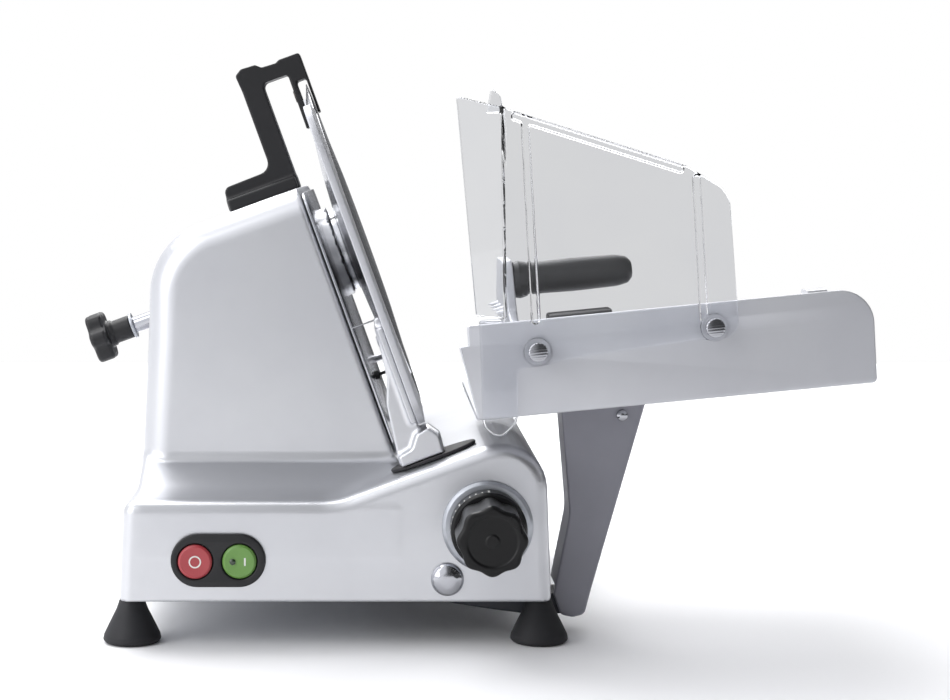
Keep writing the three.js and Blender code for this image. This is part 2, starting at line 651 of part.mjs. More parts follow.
/** Black sharpener frame: foot on the tower, column, bridge and the fork over the blade's edge. */
function sharpenerBody() {
  const foot = TOWER.top + GAP;
  const side = pushY(outline([
    [-85.5, foot, 1], [-30.5, foot], [-30.5, 136, 3], [-10.5, 136, 2], [-11, 93.5], [-9.2, 93.5],
    [-6.6, 112], [-6.4, 129, 2], [1.2, 129, 2], [1.2, 102], [3, 102], [3, 148.5, 2], [-13, 148.5, 3],
    [-16, 147, 2], [-27, 147.5, 3], [-31, 151, 2], [-42, 151.5, 3], [-47.5, 148, 3], [-46.5, 135],
    [-46.5, 74, 6], [-84, 73, 4],
  ]), -13, 13, 0, 4);
  const shoe = box(-84.5, -31.5, -20, 20, foot, foot + 9);
  const stoneBore = rodX(SHARPENER.stoneR + 0.4, -20, 8, 0, SHARPENER.stoneZ, 14);
  const buttonBores = [SHARPENER.rearButtonZ, SHARPENER.frontButtonZ]
    .map((z) => rodY(3 + RUN, 3.6, 30, SHARPENER.buttonX, z, 12));
  return cut(join(side, shoe), stoneBore, ...buttonBores);
}

/** Round sharpening stone in its bore in the fork. */
function sharpeningStone(from, to) {
  return rodX(SHARPENER.stoneR, from, to, 0, SHARPENER.stoneZ, 14);
}

/** Small spring button on the column's back that presses one stone to the blade. */
function stoneButton(z) {
  return turnY([[6.6, 0], [6.6, 3], [15.5, 3], [16.2, 2.2], [16.2, 0]], SHARPENER.buttonX, z, 12);
}

// ---------------------------------------------------------------- carriage

/** Bent sheet leg, open at the back, hung from the tray. */
function carriageLeg() {
  const depth = [CARRIAGE_Y - 19, CARRIAGE_Y + 19];
  const skin = pushY(outline([
    [149, 158.2], [155.5, 80, 40], [144.8, 26, 4], [149.5, 12.5, 5], [158, 10.8, 6], [165.5, 12.8, 5],
    [170, 30, 8], [208.5, 163.9],
  ]), ...depth);
  const pocket = pushY(outline([
    [153.2, 170], [159.6, 80, 36], [149, 27, 3], [153, 16, 3], [158, 15, 3], [162, 16, 3],
    [166, 31, 6], [206, 170],
  ]), depth[0] + 4, depth[1] + 1);
  const armGap = box(140, 172, depth[0] + 4, depth[1] + 1, 5, 31);
  const screwHole = rodY(2.5, depth[0] - 1, depth[0] + 6, 190, 146, 12);
  return cut(skin, pocket, armGap, screwHole);
}

/** Slide block on the guide rod, with the arm that reaches out under the base's rim. */
function carriageArm() {
  const [near, far] = [CARRIAGE_Y - 30, CARRIAGE_Y + 30];
  const block = pushY(outline([[56, 30, 3], [89, 30, 3], [89, 61, 3], [56, 61, 3]]), near, far);
  const arm = pushY(outline([
    [60, 34], [60, 22, 3], [104, 15.2], [128, 12], [163, 12.5, 6], [165, 26, 4], [96, 26, 3], [86, 36],
  ]), CARRIAGE_Y - 14.7, CARRIAGE_Y + 16);
  const bore = rodY(GUIDE_ROD.r + RUN, near - 1, far + 1, GUIDE_ROD.x, GUIDE_ROD.z, 32);
  const axle = rodX(3, ROLLER.x - 5, 58, CARRIAGE_Y, ROLLER.z, 16);
  return join(cut(join(block, arm), bore), axle);
}

/** Guide roller on the arm's axle. */
function carriageRoller() {
  return ringX(ROLLER.r, 3 + RUN, ROLLER.x - 4, ROLLER.x + 4, CARRIAGE_Y, ROLLER.z, 28);
}

/** Domed cap on the guide rod's end. */
function guideRodCap() {
  const face = -BASE.depth / 2 - GAP;
  return turnY([
    [face, 0], [face, 10.6], [face - 1.2, 10.6], [face - 3.4, 8.8], [face - 5, 5.4], [face - 5.6, 0],
  ], GUIDE_ROD.x, GUIDE_ROD.z);
}

/** Tray: floor, front wall and the tab that the leg is screwed to. */
function meatTray() {
  const wall = pushY(outline([
    [0, 0, 3], [TRAY.length, 0, 3], [TRAY.length + 2.5, TRAY.wallH, 21], [-1.5, TRAY.wallH, 2],
    [-1.8, 47], [-7.6, 46.6, 1],
  ]), TRAY.front, TRAY.front + TRAY.wall);
  const floor = pushZ(outline([
    [-1, TRAY.front + 1], [TRAY.length - 2, TRAY.front + 1], [TRAY.length - 2, TRAY.back, 14],
    [-1, TRAY.back, 14],
  ]), 0, TRAY.floor);
  const lip = box(12, TRAY.length - 16, TRAY.back - 4, TRAY.back, 1, 12);
  const legY = CARRIAGE_Y - 19 + 4 + GAP;
  const tab = box(70, 106, legY, legY + 4, -20, 1);
  const screwAt = intoTray(190, 146);
  const screwHole = rodY(2.5, legY - 1, legY + 6, screwAt[0], screwAt[1], 12);
  const shieldHoles = SHIELD_SCREWS.map(([x, z]) => rodY(2.8, -230, -200, x, z, 12));
  return cut(join(wall, floor, lip, tab), screwHole, ...shieldHoles);
}

/** Body-frame X and Z of a point, told in the tray frame. */
function intoTray(x, z) {
  const [dx, dz] = [x - TRAY_CORNER[0], z - TRAY_CORNER[2]];
  const [c, s] = [Math.cos(TRAY_TILT), Math.sin(TRAY_TILT)];
  return [c * dx + s * dz, c * dz - s * dx];
}

const SHIELD_SCREWS = [intoTray(126, 197), intoTray(235, 212)];

/** Clear moulded hand shield: ribbed panel, side flange, fin and screw bosses. */
function handShield() {
  const [front, back] = [SHIELD.front, SHIELD.front + SHIELD.thick];
  const spot = (x, z, radius = 0) => [...intoTray(x, z), radius];
  const panel = pushY(outline([
    spot(90, 216), spot(92.5, 150, 8), spot(103, 142, 7), spot(114, 153, 8), spot(114, 186, 5),
    spot(131, 188.5, 6), spot(150, 193), spot(225, 204, 6), spot(251, 206, 10), spot(244, 296, 18),
    spot(217, 312, 10), spot(103, 348), spot(105, 216),
  ]), front, back);
  const [foldTop, foldLow] = [intoTray(104, 347.6), intoTray(107, 216)];
  const [tipTop, tipLow] = [intoTray(77, 356), intoTray(90, 216)];
  const leaf = new THREE.Shape([
    new THREE.Vector2(tipLow[0], tipLow[1]), new THREE.Vector2(foldLow[0], foldLow[1]),
    new THREE.Vector2(foldTop[0], foldTop[1]), new THREE.Vector2(tipTop[0], tipTop[1]),
  ]);
  const shear = new THREE.Matrix4().set(
    1, 0, 0, 0,
    -SHIELD.slant, 1, 0, SHIELD.slant * foldTop[0] + SHIELD.standOff,
    0, 0, 1, 0,
    0, 0, 0, 1,
  );
  const flange = pushY(leaf, front + 0.2, back + 0.2).applyMatrix4(shear);
  const fin = pushY(outline([spot(94, 344), spot(105, 344), spot(103, 354, 1), spot(97, 360, 1)]), front, back);
  const rib = (ax, az, bx, bz, width) => {
    const [start, end] = [intoTray(ax, az), intoTray(bx, bz)];
    const along = new THREE.Vector2(end[0] - start[0], end[1] - start[1]).normalize().multiplyScalar(width / 2);
    return pushY(new THREE.Shape([
      new THREE.Vector2(start[0] + along.y, start[1] - along.x),
      new THREE.Vector2(end[0] + along.y, end[1] - along.x),
      new THREE.Vector2(end[0] - along.y, end[1] + along.x),
      new THREE.Vector2(start[0] - along.y, start[1] + along.x),
    ]), back - 1, back + SHIELD.rib);
  };
  const ribs = [rib(125, 216, 118, 340, 4), rib(229, 218, 224, 304, 4), rib(112, 342, 214, 309.7, 4)];
  const bosses = SHIELD_SCREWS.map(([x, z]) => rodY(8.5, front - 1.5, back, x, z, 24));
  const holes = SHIELD_SCREWS.map(([x, z]) => rodY(2.8, -240, -200, x, z, 12));
  return cut(join(panel, flange, fin, ...ribs, ...bosses), ...holes);
}

/** Knurled screw that clamps the shield to the tray's wall. */
function shieldScrew([x, z]) {
  const seat = SHIELD.front - 1.5 - GAP;
  return turnY([
    [seat - 4.6, 0], [seat - 4.6, 5.2], [seat - 3.8, 6.2], [seat, 6.2], [seat, 2.5], [-209.4, 2.5], [-209.4, 0],
  ], x, z, 20);
}

/** Screw at the top of the leg. */
function legScrew() {
  const web = CARRIAGE_Y - 19 - GAP;
  return turnY([
    [web - 2.4, 0], [web - 2.4, 2.4], [web - 1.2, 3.8], [web, 3.8], [web, 2.2], [web + 11, 2.2], [web + 11, 0],
  ], 190, 146, 16);
}

/** Post on the tray wall's inner side that holds one end of the pusher's rod. */
function rodBracket(x) {
  const inner = TRAY.front + TRAY.wall + GAP;
  const post = pushX(outline([
    [inner, 34], [PUSHER_ROD.y + 10, 34, 4], [PUSHER_ROD.y + 10, 60.5, 6], [inner, 60.5, 3],
  ]), x, x + 12);
  return cut(post, rodX(PUSHER_ROD.r + GAP, x + (x < 100 ? 3 : -1), x + (x < 100 ? 14 : 9),
    PUSHER_ROD.y, PUSHER_ROD.z, 20));
}

/** Slider that runs on the pusher's rod. */
function pusherSlider() {
  const block = pushX(outline([
    [PUSHER_ROD.y - 11, 35, 3], [PUSHER_ROD.y + 12, 35, 3], [PUSHER_ROD.y + 12, 61, 5],
    [PUSHER_ROD.y - 11, 61, 5],
  ]), 50, 90);
  return cut(block, rodX(PUSHER_ROD.r + RUN, 40, 100, PUSHER_ROD.y, PUSHER_ROD.z, 24));
}

/** Spiked pusher plate with the hub that swings on the rod. */
function pusherPlate() {
  const plate = pushX(outline([
    [-188, 37], [-186, 10, 6], [-62, 10, 14], [-62, 62, 22], [-118, 95.5, 20], [-170, 95.5, 6], [-172, 62, 6],
    [-188, 55],
  ]), 27, 33);
  const hub = rodX(11, 22.3, 49.5, PUSHER_ROD.y, PUSHER_ROD.z, 28);
  const spikes = Array.from({ length: 12 }, (_, i) => spike(-164 + (i % 4) * 26, 22 + Math.floor(i / 4) * 20));
  const gripStud = rodX(4, 32, 60, GRIP_Y, 81.6, 16);
  const bore = rodX(PUSHER_ROD.r + RUN, 20, 60, PUSHER_ROD.y, PUSHER_ROD.z, 24);
  return cut(join(plate, hub, ...spikes, gripStud), bore);
}

/** One cone-shaped spike on the pusher plate. */
function spike(y, z) {
  return turnX([[20, 0], [28, 2.4], [28, 0]], y, z, 6);
}

/** Black hand grip with its collar. */
function pusherGrip() {
  return turnX([
    [33.3, 4.3], [33.3, 11.5], [37, 12.2], [41, 11.2], [44, 10.2], [72, 10.8], [100, 10.2], [107, 8.6],
    [110, 5], [110, 0], [61, 0], [61, 4.3],
  ], GRIP_Y, 81.6, 20);
}

// ---------------------------------------------------------------- assembly

/** Adds one named piece to a group. */
function place(group, name, geometry, look) {
  const mesh = new THREE.Mesh(geometry, new THREE.MeshStandardMaterial(look));
  mesh.name = name;
  group.add(mesh);
}

/** Base, switch and drive controls, in the body frame. */
function bodyGroup() {
  const group = new THREE.Group();
  place(group, 'base_housing', baseHousing(), CAST);
  place(group, 'bottom_plate', bottomPlate(), ZINC);
  for (const [end, y] of [['front', -FOOT.y], ['rear', FOOT.y]]) {
    for (const [side, x] of [['left', -FOOT.x], ['right', FOOT.x]]) {
      place(group, `foot_${end}_${side}`, foot(x, y), RUBBER);
    }
  }
  place(group, 'cable_gland', cableGland(), SOFT_BLACK);
  place(group, 'switch_plate', switchPlate(), SOFT_BLACK);
  place(group, 'stop_button', pushButton(SWITCH.stopX, 1.6), RED);
  place(group, 'start_button', startButton(), GREEN);
  place(group, 'pilot_lens', rodY(2, -175.1, -172.8, SWITCH.startX - 4.3, SWITCH.buttonZ, 12), LENS);
  place(group, 'control_board', controlBoard(), BOARD);
  place(group, 'dial_collar', dialCollar(), ZINC);
  place(group, 'thickness_dial', thicknessDial(), BLACK);
  place(group, 'thickness_knob', thicknessKnob(), BLACK);
  place(group, 'thickness_cam', camShaft(), STEEL);
  place(group, 'carriage_guide_rod', rodY(GUIDE_ROD.r, -169.7, 169.7, GUIDE_ROD.x, GUIDE_ROD.z), CHROME);
  place(group, 'guide_rod_cap', guideRodCap(), CHROME);
  place(group, 'support_bar', box(36, 52, -164.6, 164.6, ROLLER.z + ROLLER.r + GAP, 57), STEEL);
  return group;
}

/** Blade, hub, guards, gauge and sharpener, in the blade frame. */
function bladeGroup() {
  const group = new THREE.Group();
  group.position.set(...BLADE_CENTRE);
  group.rotation.y = -BLADE_TILT;
  place(group, 'blade', blade(), STEEL);
  place(group, 'hub_shaft', hubShaft(), STEEL);
  place(group, 'hub_bearing_front', hubBearing(-31), STEEL);
  place(group, 'hub_bearing_rear', hubBearing(-57.5), STEEL);
  place(group, 'driven_pulley', pulley(PULLEY.big, SHAFT_R + GAP, 0, 0, 32), CAST);
  place(group, 'drive_belt', driveBelt(), RUBBER);
  place(group, 'motor_body', motorBody(), MOTOR_PAINT);
  place(group, 'motor_shaft', rodX(MOTOR.shaftR, -109.7, -63.5, MOTOR.y, MOTOR.z, 16), STEEL);
  place(group, 'motor_pulley', pulley(PULLEY.small, MOTOR.shaftR + GAP, MOTOR.y, MOTOR.z, 20), CAST);
  place(group, 'blade_cover', bladeCover(), STEEL);
  place(group, 'tie_rod', tieRod(), CHROME);
  place(group, 'tie_rod_knob', tieRodKnob(), BLACK);
  place(group, 'knob_washer', knobWasher(), ZINC);
  place(group, 'blade_guard_ring', bladeGuardRing(), CAST);
  place(group, 'slice_deflector', sliceDeflector(), STEEL);
  place(group, 'deflector_pin', deflectorPin(), SOFT_BLACK);
  place(group, 'sharpener_body', sharpenerBody(), SOFT_BLACK);
  place(group, 'rear_stone', sharpeningStone(-11.5, -6.2), STONE);
  place(group, 'front_stone', sharpeningStone(1.5, 3), STONE);
  place(group, 'rear_stone_button', stoneButton(SHARPENER.rearButtonZ), RED);
  place(group, 'front_stone_button', stoneButton(SHARPENER.frontButtonZ), GREEN);
  place(group, 'gauge_plate', gaugePlate(), ANODISED);
  place(group, 'gauge_support', gaugeSupport(), CAST);
  place(group, 'gauge_slider', gaugeSlider(), CAST);
  place(group, 'gauge_guide_rod', rodX(GAUGE_ROD.r, -GAUGE_ROD.half, GAUGE_ROD.half - GAP,
    GAUGE_STEM.y, GAUGE_ROD.z, 20), CHROME);
  place(group, 'gauge_seal', gaugeSeal(), RUBBER);
  return group;
}

/** Leg and slide of the carriage, in the body frame. */
function carriageGroup() {
  const group = new THREE.Group();
  place(group, 'carriage_leg', carriageLeg(), GREY_PAINT);
  place(group, 'carriage_arm', carriageArm(), CAST);
  place(group, 'carriage_roller', carriageRoller(), BLACK);
  place(group, 'leg_screw', legScrew(), CHROME);
  return group;
}

/** Tray, hand shield and pusher, in the tray frame. */
function trayGroup() {
  const group = new THREE.Group();
  group.position.set(...TRAY_CORNER);
  group.rotation.y = -TRAY_TILT;
  place(group, 'meat_tray', meatTray(), ANODISED);
  place(group, 'hand_shield', handShield(), CLEAR);
  place(group, 'shield_screw_left', shieldScrew(SHIELD_SCREWS[0]), CHROME);
  place(group, 'shield_screw_right', shieldScrew(SHIELD_SCREWS[1]), CHROME);
  place(group, 'pusher_rod', rodX(PUSHER_ROD.r, 11.3, 220.7, PUSHER_ROD.y, PUSHER_ROD.z, 24), CHROME);
  place(group, 'rod_bracket_left', rodBracket(8), CAST);
  place(group, 'rod_bracket_right', rodBracket(212), CAST);
  place(group, 'pusher_slider', pusherSlider(), BLACK);
  place(group, 'pusher_plate', pusherPlate(), ANODISED);
  place(group, 'pusher_grip', pusherGrip(), BLACK);
  return group;
}

const slicer = new THREE.Group();
slicer.add(bodyGroup(), bladeGroup(), carriageGroup(), trayGroup());
slicer.updateMatrixWorld(true);
const outlineBox = new THREE.Box3().setFromObject(slicer, true);
const middle = outlineBox.getCenter(new THREE.Vector3());
slicer.position.set(-middle.x, -middle.y, -outlineBox.min.z);

export default slicer;
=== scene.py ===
"""Looks of a gravity-feed deli meat slicer with a 250 mm blade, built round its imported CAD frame.

Lengths are millimetres until a mesh is laid in the frame, which is in metres. Three sets of axes are
used. The body axes start at the middle of the base, on the counter. The blade axes lean 20 degrees:
their X is the blade's axle, towards the carriage, and Z climbs along the blade. The tray axes lean 5.5
degrees: X climbs along the tray and Z stands on its floor.
"""

import json
import logging
import math
from dataclasses import dataclass, field
from enum import Enum
from typing import Callable, Iterable, Sequence

import bmesh
import bpy
import numpy as np
from mathutils import Matrix, Vector
from mathutils.geometry import tessellate_polygon


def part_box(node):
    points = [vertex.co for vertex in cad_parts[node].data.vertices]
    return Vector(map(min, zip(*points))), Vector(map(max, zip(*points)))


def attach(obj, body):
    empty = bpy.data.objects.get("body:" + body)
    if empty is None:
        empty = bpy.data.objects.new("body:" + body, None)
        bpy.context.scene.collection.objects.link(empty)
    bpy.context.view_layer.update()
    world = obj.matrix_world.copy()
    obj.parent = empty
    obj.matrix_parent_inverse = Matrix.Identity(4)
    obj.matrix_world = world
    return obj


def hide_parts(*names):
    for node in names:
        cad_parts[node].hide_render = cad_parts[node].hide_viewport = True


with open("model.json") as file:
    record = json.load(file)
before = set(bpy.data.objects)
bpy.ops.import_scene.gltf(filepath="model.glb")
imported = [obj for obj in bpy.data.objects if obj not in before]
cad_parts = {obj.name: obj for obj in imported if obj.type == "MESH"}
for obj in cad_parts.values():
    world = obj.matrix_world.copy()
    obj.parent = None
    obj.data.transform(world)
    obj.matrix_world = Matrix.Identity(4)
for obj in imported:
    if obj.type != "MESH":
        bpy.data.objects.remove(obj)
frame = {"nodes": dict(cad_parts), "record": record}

LOG = logging.getLogger("slicer")
MM = 0.001
FRONT = -170.3  # body Y of the seats of the pieces on the casting's front face
SPIN_STEPS = 128  # spans round a large turned piece

Array = np.ndarray
Field = Callable[[Array, Array, Array], Array]
Corner = Sequence[float]


# ---------------------------------------------------------------- axes


def body_axes() -> Matrix:
    """Body axes, found from the casting's box.

    Returns:
        The matrix from body millimetres to metres in the frame.
    """
    low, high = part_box("base_housing")
    middle = (low + high) / 2
    return Matrix.Translation((middle.x, middle.y, 0)) @ Matrix.Scale(MM, 4)


BODY = body_axes()
BLADE_CENTRE = (18.0, 45.0, 255.0)
BLADE_TILT = math.radians(20)
BLADE = BODY @ Matrix.Translation(BLADE_CENTRE) @ Matrix.Rotation(-BLADE_TILT, 4, "Y")
TRAY_CORNER = (90.0, 0.0, 153.3)
TRAY_TILT = math.radians(5.5)
TRAY = BODY @ Matrix.Translation(TRAY_CORNER) @ Matrix.Rotation(-TRAY_TILT, 4, "Y")


def in_tray(x: float, z: float) -> tuple[float, float]:
    """Body X and Z told in the tray axes.

    Args:
        x: Body X.
        z: Body Z.

    Returns:
        Tray X and Z.
    """
    dx, dz = x - TRAY_CORNER[0], z - TRAY_CORNER[2]
    c, s = math.cos(TRAY_TILT), math.sin(TRAY_TILT)
    return c * dx + s * dz, c * dz - s * dx


class Axis(Enum):
    """The axis that an outline is pushed along or a profile is turned about."""

    X = 0
    Y = 1
    Z = 2

    def point(self, along: Array, u: Array, v: Array) -> Array:
        """Points from their place along this axis and on the two others.

        Args:
            along: Place along this axis.
            u: Place on the first of the two other axes.
            v: Place on the second.

        Returns:
            An array of points, one a row.
        """
        order = {Axis.X: (along, u, v), Axis.Y: (u, along, v), Axis.Z: (u, v, along)}[self]
        return np.stack(np.broadcast_arrays(*order), axis=-1).reshape(-1, 3).astype(float)


# ---------------------------------------------------------------- outlines and solids


def rounded(corners: Sequence[Corner], steps: int = 6, closed: bool = True) -> Array:
    """Line through corners (u, v, radius), each corner rounded.

    Args:
        corners: The corners; a missing radius is none.
        steps: Spans in a rounded corner.
        closed: Whether the last corner joins the first.

    Returns:
        The points of the line.
    """
    made: list[Array] = []
    count = len(corners)
    for i, corner in enumerate(corners):
        here = np.array(corner[:2], float)
        radius = corner[2] if len(corner) > 2 else 0.0
        if radius <= 0 or (not closed and i in (0, count - 1)):
            made.append(here)
            continue
        back = np.array(corners[i - 1][:2], float) - here
        ahead = np.array(corners[(i + 1) % count][:2], float) - here
        room = 0.49 * min(np.linalg.norm(back), np.linalg.norm(ahead))
        back, ahead = back / np.linalg.norm(back), ahead / np.linalg.norm(ahead)
        half = math.acos(float(np.clip(back @ ahead, -1, 1))) / 2
        if math.pi / 2 - half < 0.01:
            made.append(here)
            continue
        reach = min(radius / math.tan(half), room)
        radius = reach * math.tan(half)
        middle = here + (back + ahead) / np.linalg.norm(back + ahead) * radius / math.sin(half)
        start, end = here + back * reach - middle, here + ahead * reach - middle
        sweep = math.pi - 2 * half
        for k in range(steps + 1):
            t = k / steps
            along = math.sin((1 - t) * sweep) * start + math.sin(t * sweep) * end
            made.append(middle + along / math.sin(sweep))
    return np.array(made)


@dataclass(frozen=True, eq=False)
class Outline:
    """A closed line in a plane."""

    points: Array

    @classmethod
    def of(cls, *corners: Corner, steps: int = 6) -> "Outline":
        """Outline through corners (u, v, radius)."""
        return cls(rounded(corners, steps))

    @classmethod
    def obround(cls, u: float, v: float, width: float, height: float, steps: int = 24) -> "Outline":
        """Outline with two round ends, lying on its long side."""
        r = height / 2
        turn = np.linspace(-math.pi / 2, math.pi / 2, steps)
        right = np.stack([u + width / 2 - r + r * np.cos(turn), v + r * np.sin(turn)], 1)
        left = np.stack([u - width / 2 + r - r * np.cos(turn), v - r * np.sin(turn)], 1)
        return cls(np.concatenate([right, left]))

    @classmethod
    def oval(cls, u: float, v: float, half_u: float, half_v: float, steps: int = 72) -> "Outline":
        """Ellipse, or a circle where both halves are one size."""
        turn = np.linspace(0, 2 * math.pi, steps, endpoint=False)
        return cls(np.stack([u + half_u * np.cos(turn), v + half_v * np.sin(turn)], 1))

    @classmethod
    def lobed(cls, radius: float, lobes: int, depth: float, power: float = 3, steps: int = 24) -> "Outline":
        """Grip outline with rounded lobes."""
        turn = np.linspace(0, 2 * math.pi, lobes * steps, endpoint=False)
        r = radius - depth * np.abs(np.sin(turn * lobes / 2)) ** power
        return cls(np.stack([r * np.cos(turn), r * np.sin(turn)], 1))

    def at(self, u: float, v: float) -> "Outline":
        """The same outline, moved."""
        return Outline(self.points + np.array([u, v]))

    def inset(self, distance: float) -> Array:
        """Points moved inwards by a distance.

        Args:
            distance: How far in; negative moves outwards.

        Returns:
            The moved points, in the order of the outline's own.
        """
        p = self.points
        before, after = p - np.roll(p, 1, 0), np.roll(p, -1, 0) - p
        area = float(np.sum(p[:, 0] * np.roll(p[:, 1], -1) - p[:, 1] * np.roll(p[:, 0], -1)))
        turn = 1.0 if area > 0 else -1.0
        n0 = np.stack([-before[:, 1], before[:, 0]], 1) / np.linalg.norm(before, axis=1)[:, None] * turn
        n1 = np.stack([-after[:, 1], after[:, 0]], 1) / np.linalg.norm(after, axis=1)[:, None] * turn
        share = 1 + np.sum(n0 * n1, 1)
        return p + distance * (n0 + n1) / np.maximum(share, 0.3)[:, None]

    def distance(self, u: Array, v: Array) -> Array:
        """Signed distance to the outline.

        Args:
            u: First coordinates.
            v: Second coordinates.

        Returns:
            Distances, negative inside.
        """
        u, v = np.asarray(u, np.float32), np.asarray(v, np.float32)
        best = np.full(np.broadcast_shapes(u.shape, v.shape), 1e9, np.float32)
        inside = np.zeros(best.shape, bool)
        for a, b in zip(self.points, np.roll(self.points, -1, 0)):
            du, dv = float(b[0] - a[0]), float(b[1] - a[1])
            length = du * du + dv * dv
            if length < 1e-9:
                continue
            pu, pv = u - np.float32(a[0]), v - np.float32(a[1])
            t = np.clip((pu * du + pv * dv) / length, 0, 1)
            best = np.minimum(best, (pu - t * du) ** 2 + (pv - t * dv) ** 2)
            if dv != 0:
                spans = (pv >= min(0, dv)) & (pv < max(0, dv))
                inside = inside ^ (spans & (pu < pv * (du / dv)))
        return np.where(inside, -1, 1).astype(np.float32) * np.sqrt(best)


@dataclass
class Solid:
    """Closed mesh in millimetres, with exact normals where it has them."""

    points: Array
    faces: list[tuple[int, ...]]
    normals: Array | None = None

    def laid(self, axes: Matrix) -> "Solid":
        """The same solid carried through a matrix."""
        m = np.array(axes)
        points = self.points @ m[:3, :3].T + m[:3, 3]
        return Solid(points, self.faces)

    def __add__(self, other: "Solid") -> "Solid":
        """Both solids as one mesh."""
        start = len(self.points)
        faces = self.faces + [tuple(i + start for i in face) for face in other.faces]
        return Solid(np.concatenate([self.points, other.points]), faces)


def slab(shape: Outline, axis: Axis, low: float, high: float, edge: float = 0.6,
         holes: Iterable[Outline] = (), steps: int = 4) -> Solid:
    """Outline pushed along an axis, with rounded edges and holes right through.

    Args:
        shape: The outline, in the two other axes.
        axis: The axis it is pushed along.
        low: Where it starts.
        high: Where it ends.
        edge: Radius of its edges.
        holes: Outlines of the holes.
        steps: Spans in a rounded edge.

    Returns:
        The closed solid.
    """
    quarter = [(edge * (1 - math.sin(a)), edge * (1 - math.cos(a)))
               for a in np.linspace(0, math.pi / 2, steps + 1)]
    levels = [(inward, low + rise) for inward, rise in quarter]
    levels += [(inward, high - rise) for inward, rise in reversed(quarter)]
    points: list[Array] = []
    faces: list[tuple[int, ...]] = []
    caps: dict[int, list[tuple[Array, int]]] = {0: [], len(levels) - 1: []}
    start = 0
    for ring, sign in [(shape, 1), *((hole, -1) for hole in holes)]:
        count = len(ring.points)
        for i, (inward, along) in enumerate(levels):
            line = ring.inset(sign * inward)
            points.append(axis.point(np.full(count, along), line[:, 0], line[:, 1]))
            if i in caps:
                caps[i].append((line, start + i * count))
            if i:
                a, b = start + (i - 1) * count, start + i * count
                faces += [(a + k, a + (k + 1) % count, b + (k + 1) % count, b + k) for k in range(count)]
        start += count * len(levels)
    for rings in caps.values():
        where = [at + k for line, at in rings for k in range(len(line))]
        flat = [[Vector((float(u), float(v), 0)) for u, v in line] for line, _ in rings]
        faces += [tuple(where[k] for k in triangle) for triangle in tessellate_polygon(flat)]
    return Solid(np.concatenate(points), faces)


def turned(profile: Sequence[Corner], axis: Axis, centre: tuple[float, float] = (0, 0),
           edge: float = 0.3, steps: int = 96) -> Solid:
    """Profile turned about an axis.

    Args:
        profile: Points (along, radius); it starts and ends on the axis, or closes on itself.
        axis: The axis.
        centre: Where the axis stands on the two others.
        edge: Radius of the profile's corners, or each point's own third number.
        steps: Spans round the axis.

    Returns:
        The closed solid.
    """
    closed = not (profile[0][1] == 0 and profile[-1][1] == 0)
    line = rounded([(*p[:2], p[2] if len(p) > 2 else edge) for p in profile], 4, closed)
    turn = np.linspace(0, 2 * math.pi, steps, endpoint=False)
    u = centre[0] + line[:, 1:2] * np.cos(turn)
    v = centre[1] + line[:, 1:2] * np.sin(turn)
    points = axis.point(np.repeat(line[:, 0], steps).reshape(-1, steps), u, v)
    count = len(line)
    faces = []
    for i in range(count if closed else count - 1):
        a, b = i * steps, ((i + 1) % count) * steps
        faces += [(a + k, a + (k + 1) % steps, b + (k + 1) % steps, b + k) for k in range(steps)]
    return Solid(points, faces)


def rod(axis: Axis, radius: float, low: float, high: float, centre: tuple[float, float] = (0, 0),
        edge: float = 0.5, steps: int = 64) -> Solid:
    """Round bar with broken edges."""
    return turned([(low, 0), (low, radius), (high, radius), (high, 0)], axis, centre, edge, steps)


# ---------------------------------------------------------------- moulded and cast shapes


def union(a: Array, b: Array, fillet: float = 0.01) -> Array:
    """Two fields as one body, filleted where they meet."""
    h = np.maximum(fillet - np.abs(a - b), 0) / fillet
    return np.minimum(a, b) - h * h * fillet / 4


def common(a: Array, b: Array, edge: float = 0.01) -> Array:
    """What two fields share, with rounded edges."""
    return -union(-a, -b, edge)


def without(a: Array, b: Array, edge: float = 0.01) -> Array:
    """The first field with the second taken out."""
    return common(a, -b, edge)


def pushed(flat: Array, along: Array, low: float, high: float, edge: float) -> Array:
    """Field of an outline's distance pushed along an axis, with rounded edges.

    Args:
        flat: Distance to the outline.
        along: Place along the axis.
        low: Where it starts.
        high: Where it ends.
        edge: Radius of its edges.

    Returns:
        The field.
    """
    q = flat + edge
    w = np.abs(along - (low + high) / 2) - (high - low) / 2 + edge
    return np.hypot(np.maximum(q, 0), np.maximum(w, 0)) + np.minimum(np.maximum(q, w), 0) - edge


def block(x: Array, y: Array, z: Array, low: Corner, high: Corner, edge: float = 0.5) -> Array:
    """Field of a box with rounded edges."""
    q = [np.abs(w - (a + b) / 2) - (b - a) / 2 + edge for w, a, b in zip((x, y, z), low, high)]
    far = np.sqrt(sum(np.maximum(w, 0) ** 2 for w in q))
    return far + np.minimum(np.maximum(np.maximum(q[0], q[1]), q[2]), 0) - edge


def bar(along: Array, u: Array, v: Array, radius: float, low: float, high: float, edge: float = 0.4) -> Array:
    """Field of a round bar."""
    return pushed(np.hypot(u, v) - radius, along, low, high, edge)


